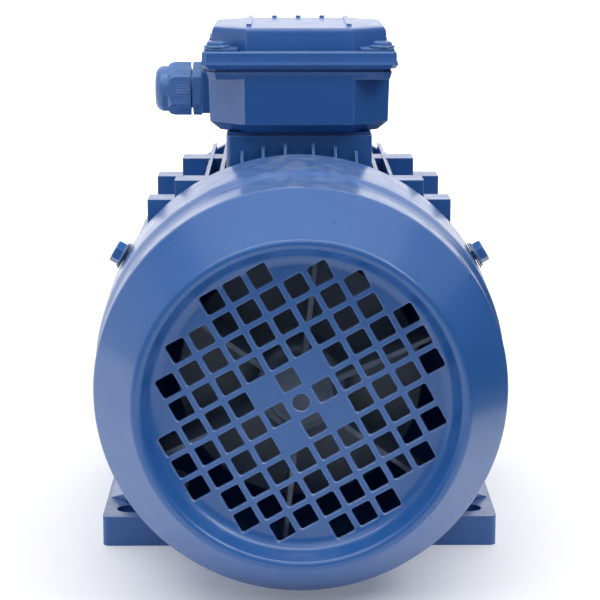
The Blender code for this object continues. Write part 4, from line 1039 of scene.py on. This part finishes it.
def make_endshield_bolts():
    ends = (("front", FRAME_HIGH.y + FRONT_FLANGE, 1), ("rear", FRAME_LOW.y + REAR_FLANGE, -1))
    for index, angle in enumerate(BOLT_ANGLES, 1):
        centre = polar(BOLT_CIRCLE_RADIUS, angle)
        for end, seat, direction in ends:
            bolt = hex_bolt(f"{end}_bolt_{index}", centre, seat, direction)
            dress(bolt, "zinc", "stator", "zinc_steel", f"{end}_endshield_bolt_{index}")


def make_shaft():
    """Stepped shaft with a circlip groove, a centre hole and a closed keyway, and its key."""
    start = SHAFT_LOW.y
    end = SHAFT_HIGH.y
    shoulder = end - SHAFT_EXTENSION
    core_start = FRAME_LOW.y - 1.7
    core_end = FRAME_HIGH.y + 14.7
    shaft = lathed("shaft_turned", [
        (0, start), (11.2, start), (12, start + 0.8), (12, start + 3.1), (11, start + 3.1),
        (11, start + 4.7), (12, start + 4.7), (12, -120), (15, -118), (15, core_start),
        (SHAFT_CORE_RADIUS, core_start), (SHAFT_CORE_RADIUS, core_end), (15, core_end),
        (15, shoulder - 0.4), (14.7, shoulder), (SHAFT_RADIUS, shoulder),
        (SHAFT_RADIUS, end - 1.3), (12.8, end), (4.6, end), (3, end - 1.6), (3, end - 20),
        (0, end - 20)], steps=96)
    middle = end - SHAFT_EXTENSION / 2
    length, width = SHAFT_KEY
    keyway = [(v, middle + u) for u, v in slot_outline(
        0, 0, length + KEYWAY_CLEARANCE, width + KEYWAY_CLEARANCE)]
    cut(shaft, solid("keyway", (
        add_prism, keyway, AXIS_Z + KEYWAY_FLOOR, AXIS_Z + SHAFT_RADIUS + 11, "Z")))
    clean(shaft)
    round_edges(shaft, 0.15, 2, 40)
    smooth(shaft)
    dress(shaft, "steel", "rotor", "bare_steel", "shaft")
    outline = [(v, middle + u) for u, v in slot_outline(0, 0, length, width)]
    key = solid("shaft_key_ground", (add_prism, outline, KEY_LOW.z, KEY_HIGH.z, "Z"))
    round_edges(key, 0.4, 2, 40)
    smooth(key)
    dress(key, "zinc", "rotor", "zinc_steel", "shaft_key")


def make_fan():
    """Moulded fan: hub, dished back plate and straight blades, and the cap over its hub."""
    seat = FAN_LOW.y + 12
    plate = FAN_HIGH.y
    fan = lathed("fan_moulding", [
        (12.3, seat), (18.5, seat), *arc((18.5, seat + 2.5), 2.5, -90, 0, 4), (22.5, plate - 8.5),
        (27, plate - 4.8), (57.3, plate - 2.7), (58, plate - 2), (58, plate - 0.5),
        (57.3, plate), (12.3, plate)], steps=96)
    blade = [(18, -1.3), (76.9, -0.9), *arc((77.1, 0), 0.9, -90, 90, 4), (76.9, 0.9), (18, 1.3)]
    blades = []
    for index in range(BLADE_COUNT):
        angle = math.radians(BLADE_START + 360 // BLADE_COUNT * index)
        outline = turned(blade, angle, (0, AXIS_Z))
        blades.append((add_prism, outline, FAN_LOW.y, plate - 1.8))
    fuse(fan, solid("blades", *blades))
    clean(fan)
    round_edges(fan, 0.3, 2, 40)
    smooth(fan)
    dress(fan, "fan", "rotor", "grey_plastic", "cooling_fan")
    cap = lathed("fan_hub_cap", [
        (0, seat - 8.4), (13.5, seat - 8.4), *arc((13.5, seat - 5.9), 2.5, -90, 0, 5),
        (16, seat - 0.3), (15.3, seat - 0.3), (15.3, seat - 6.2), (0, seat - 6.2)])
    smooth(cap)
    dress(cap, "fan", "rotor", "grey_plastic")


# ------------------------------------------------------------------ CAD nodes that stay

def keep_nodes():
    """Give each CAD node that stays as it is a finished material."""
    foot_bolts = [f"foot_{side}_bolt_{end}" for side in ("left", "right")
                  for end in ("rear", "front")]
    bearings = [f"{place}_bearing_{part}" for place in ("rear", "front")
                for part in ("outer", "inner", "balls")]
    studs = [f"terminal_stud_{row}_{column}" for row in ("link", "supply") for column in "uvw"]
    kept = {
        "zinc": foot_bolts + ["earth_screw"],
        "core": ["stator_core", "rotor_core"],
        "cage": ["rotor_cage"],
        "copper": ["stator_winding"],
        "steel": ["preload_washer", "fan_circlip"] + bearings,
        "rubber": ["shaft_seal", "gland_seal"],
        "gasket": ["box_base_gasket", "box_lid_gasket"],
        "gland": ["gland_locknut"],
        "board": ["terminal_board"],
        "brass": ["terminal_link"] + studs,
        "plate": ["rating_plate"],
    }
    for look, names in kept.items():
        for name in names:
            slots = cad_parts[name].data.materials
            slots.clear()
            slots.append(MATERIALS[look])


# ------------------------------------------------------------------ stage

# Floor and wall, in metres: their glow rises between two distances from the origin
STAGE_HALF_WIDTH = 16.0
STAGE_REACH = 8.0
STAGE_WALL_HEIGHT = 9.0
FLOOR_GLOW = (0.16, 0.9)
FLOOR_GLOW_DISTANCE = (0.45, 1.9)
WALL_GLOW = 0.85
WORLD_STRENGTH = 0.35
LIGHT_TARGET = (0, 0, 0.12)

# Camera: its place in millimetres, its lens in millimetres and its tilt downwards
CAMERA_PLACE = (-7.6, COVER_RIM - 915.4, AXIS_Z + 228.9)
CAMERA_LENS = 123.0
CAMERA_DOWN = 11.42
CAMERA_TURN = -0.45


def make_card(name, corners, material):
    """Flat card from its four corners, in metres."""
    bm = bmesh.new()
    bm.faces.new([bm.verts.new(corner) for corner in corners])
    mesh = bpy.data.meshes.new(name)
    bm.to_mesh(mesh)
    bm.free()
    mesh.materials.append(material)
    obj = bpy.data.objects.new(name, mesh)
    bpy.context.collection.objects.link(obj)
    return obj


def make_floor():
    """Plain pale floor that brightens away from the motor and ends at a soft grey wall."""
    side, reach, height = STAGE_HALF_WIDTH, STAGE_REACH, STAGE_WALL_HEIGHT
    pale = Recipe("pale_floor", Roughness=0.9, Emission_Color=(1, 1, 1, 1))
    cloud = pale.spread(pale.noise(300, 3), 0.0, 1.0)
    tone = pale.mix(cloud, (0.90, 0.90, 0.90), (0.93, 0.93, 0.93))
    distance = pale.tree.nodes.new("ShaderNodeVectorMath")
    distance.operation = "LENGTH"
    pale.feed(distance.inputs[0], pale.place)
    glow = pale.spread(distance.outputs["Value"], *FLOOR_GLOW, *FLOOR_GLOW_DISTANCE)
    make_card("studio_floor", [
        (-side, -reach, 0), (-side, reach, 0), (side, reach, 0), (side, -reach, 0)],
        pale.set(Base_Color=tone, Emission_Strength=glow))
    grey = Recipe("grey_wall", Roughness=0.9, Emission_Color=(1, 0.98, 1, 1),
                  Emission_Strength=WALL_GLOW)
    make_card("studio_wall", [
        (-side, reach, 0), (-side, reach, height), (side, reach, height), (side, reach, 0)],
        grey.set(Base_Color=(0.6, 0.6, 0.6, 1)))


def make_flag(name, start, end, height):
    """Upright black card, seen only in reflections, that keeps the upright faces deep in tone."""
    corners = [(*start, 0.0), (*end, 0.0), (*end, height), (*start, height)]
    black = Recipe("black_card", Roughness=0.9).set(Base_Color=(0.01, 0.01, 0.01, 1))
    flag = make_card(name, corners, black)
    flag.visible_camera = False
    flag.visible_shadow = False


def add_area_light(name, place, size, power):
    """Rectangular light at place, turned towards the middle of the motor."""
    light = bpy.data.lights.new(name, "AREA")
    light.shape = "RECTANGLE"
    light.size, light.size_y = size
    light.energy = power
    obj = bpy.data.objects.new(name, light)
    bpy.context.collection.objects.link(obj)
    obj.location = place
    direction = Vector(LIGHT_TARGET) - Vector(place)
    obj.rotation_euler = direction.to_track_quat("-Z", "Y").to_euler()


def make_lights():
    add_area_light("top_softbox", (0, 0, 1.5), (2.4, 2.0), 10)
    add_area_light("top_strip", (0, -0.45, 1.5), (2.6, 0.35), 12.5)
    add_area_light("front_softbox", (-0.3, -1.3, 1.4), (1.2, 0.8), 4)
    add_area_light("left_softbox", (-1.6, -0.3, 0.5), (1.6, 1.0), 1.2)
    add_area_light("right_softbox", (1.1, -0.7, 1.3), (0.45, 0.45), 5)
    world = bpy.data.worlds.new("studio")
    world.use_nodes = True
    background = world.node_tree.nodes["Background"]
    background.inputs["Color"].default_value = (1.0, 1.0, 1.0, 1)
    background.inputs["Strength"].default_value = WORLD_STRENGTH
    bpy.context.scene.world = world
    bpy.context.scene.view_settings.view_transform = "Standard"


def make_camera():
    """Long lens looking slightly down at the fan cover."""
    camera = bpy.data.cameras.new("camera")
    camera.sensor_width = 36.0
    camera.lens = CAMERA_LENS
    camera.clip_end = 50
    obj = bpy.data.objects.new("camera", camera)
    bpy.context.collection.objects.link(obj)
    obj.location = Vector(CAMERA_PLACE) * MM
    obj.rotation_euler = (math.radians(90 - CAMERA_DOWN), 0, math.radians(CAMERA_TURN))
    bpy.context.scene.camera = obj


def main():
    make_fan_cover()
    make_cover_screws()
    make_frame()
    make_foot("foot_left", -1)
    make_foot("foot_right", 1)
    make_box_base()
    make_box_lid()
    make_lid_screws()
    make_gland_body()
    make_gland_nut()
    make_front_endshield()
    make_rear_endshield()
    make_endshield_bolts()
    make_shaft()
    make_fan()
    keep_nodes()
    make_floor()
    make_flag("front_flag", (-1.0, -0.75), (1.0, -0.75), 0.35)
    make_flag("right_flag", (0.36, -0.7), (0.36, 0.6), 0.28)
    make_lights()
    make_camera()


main()
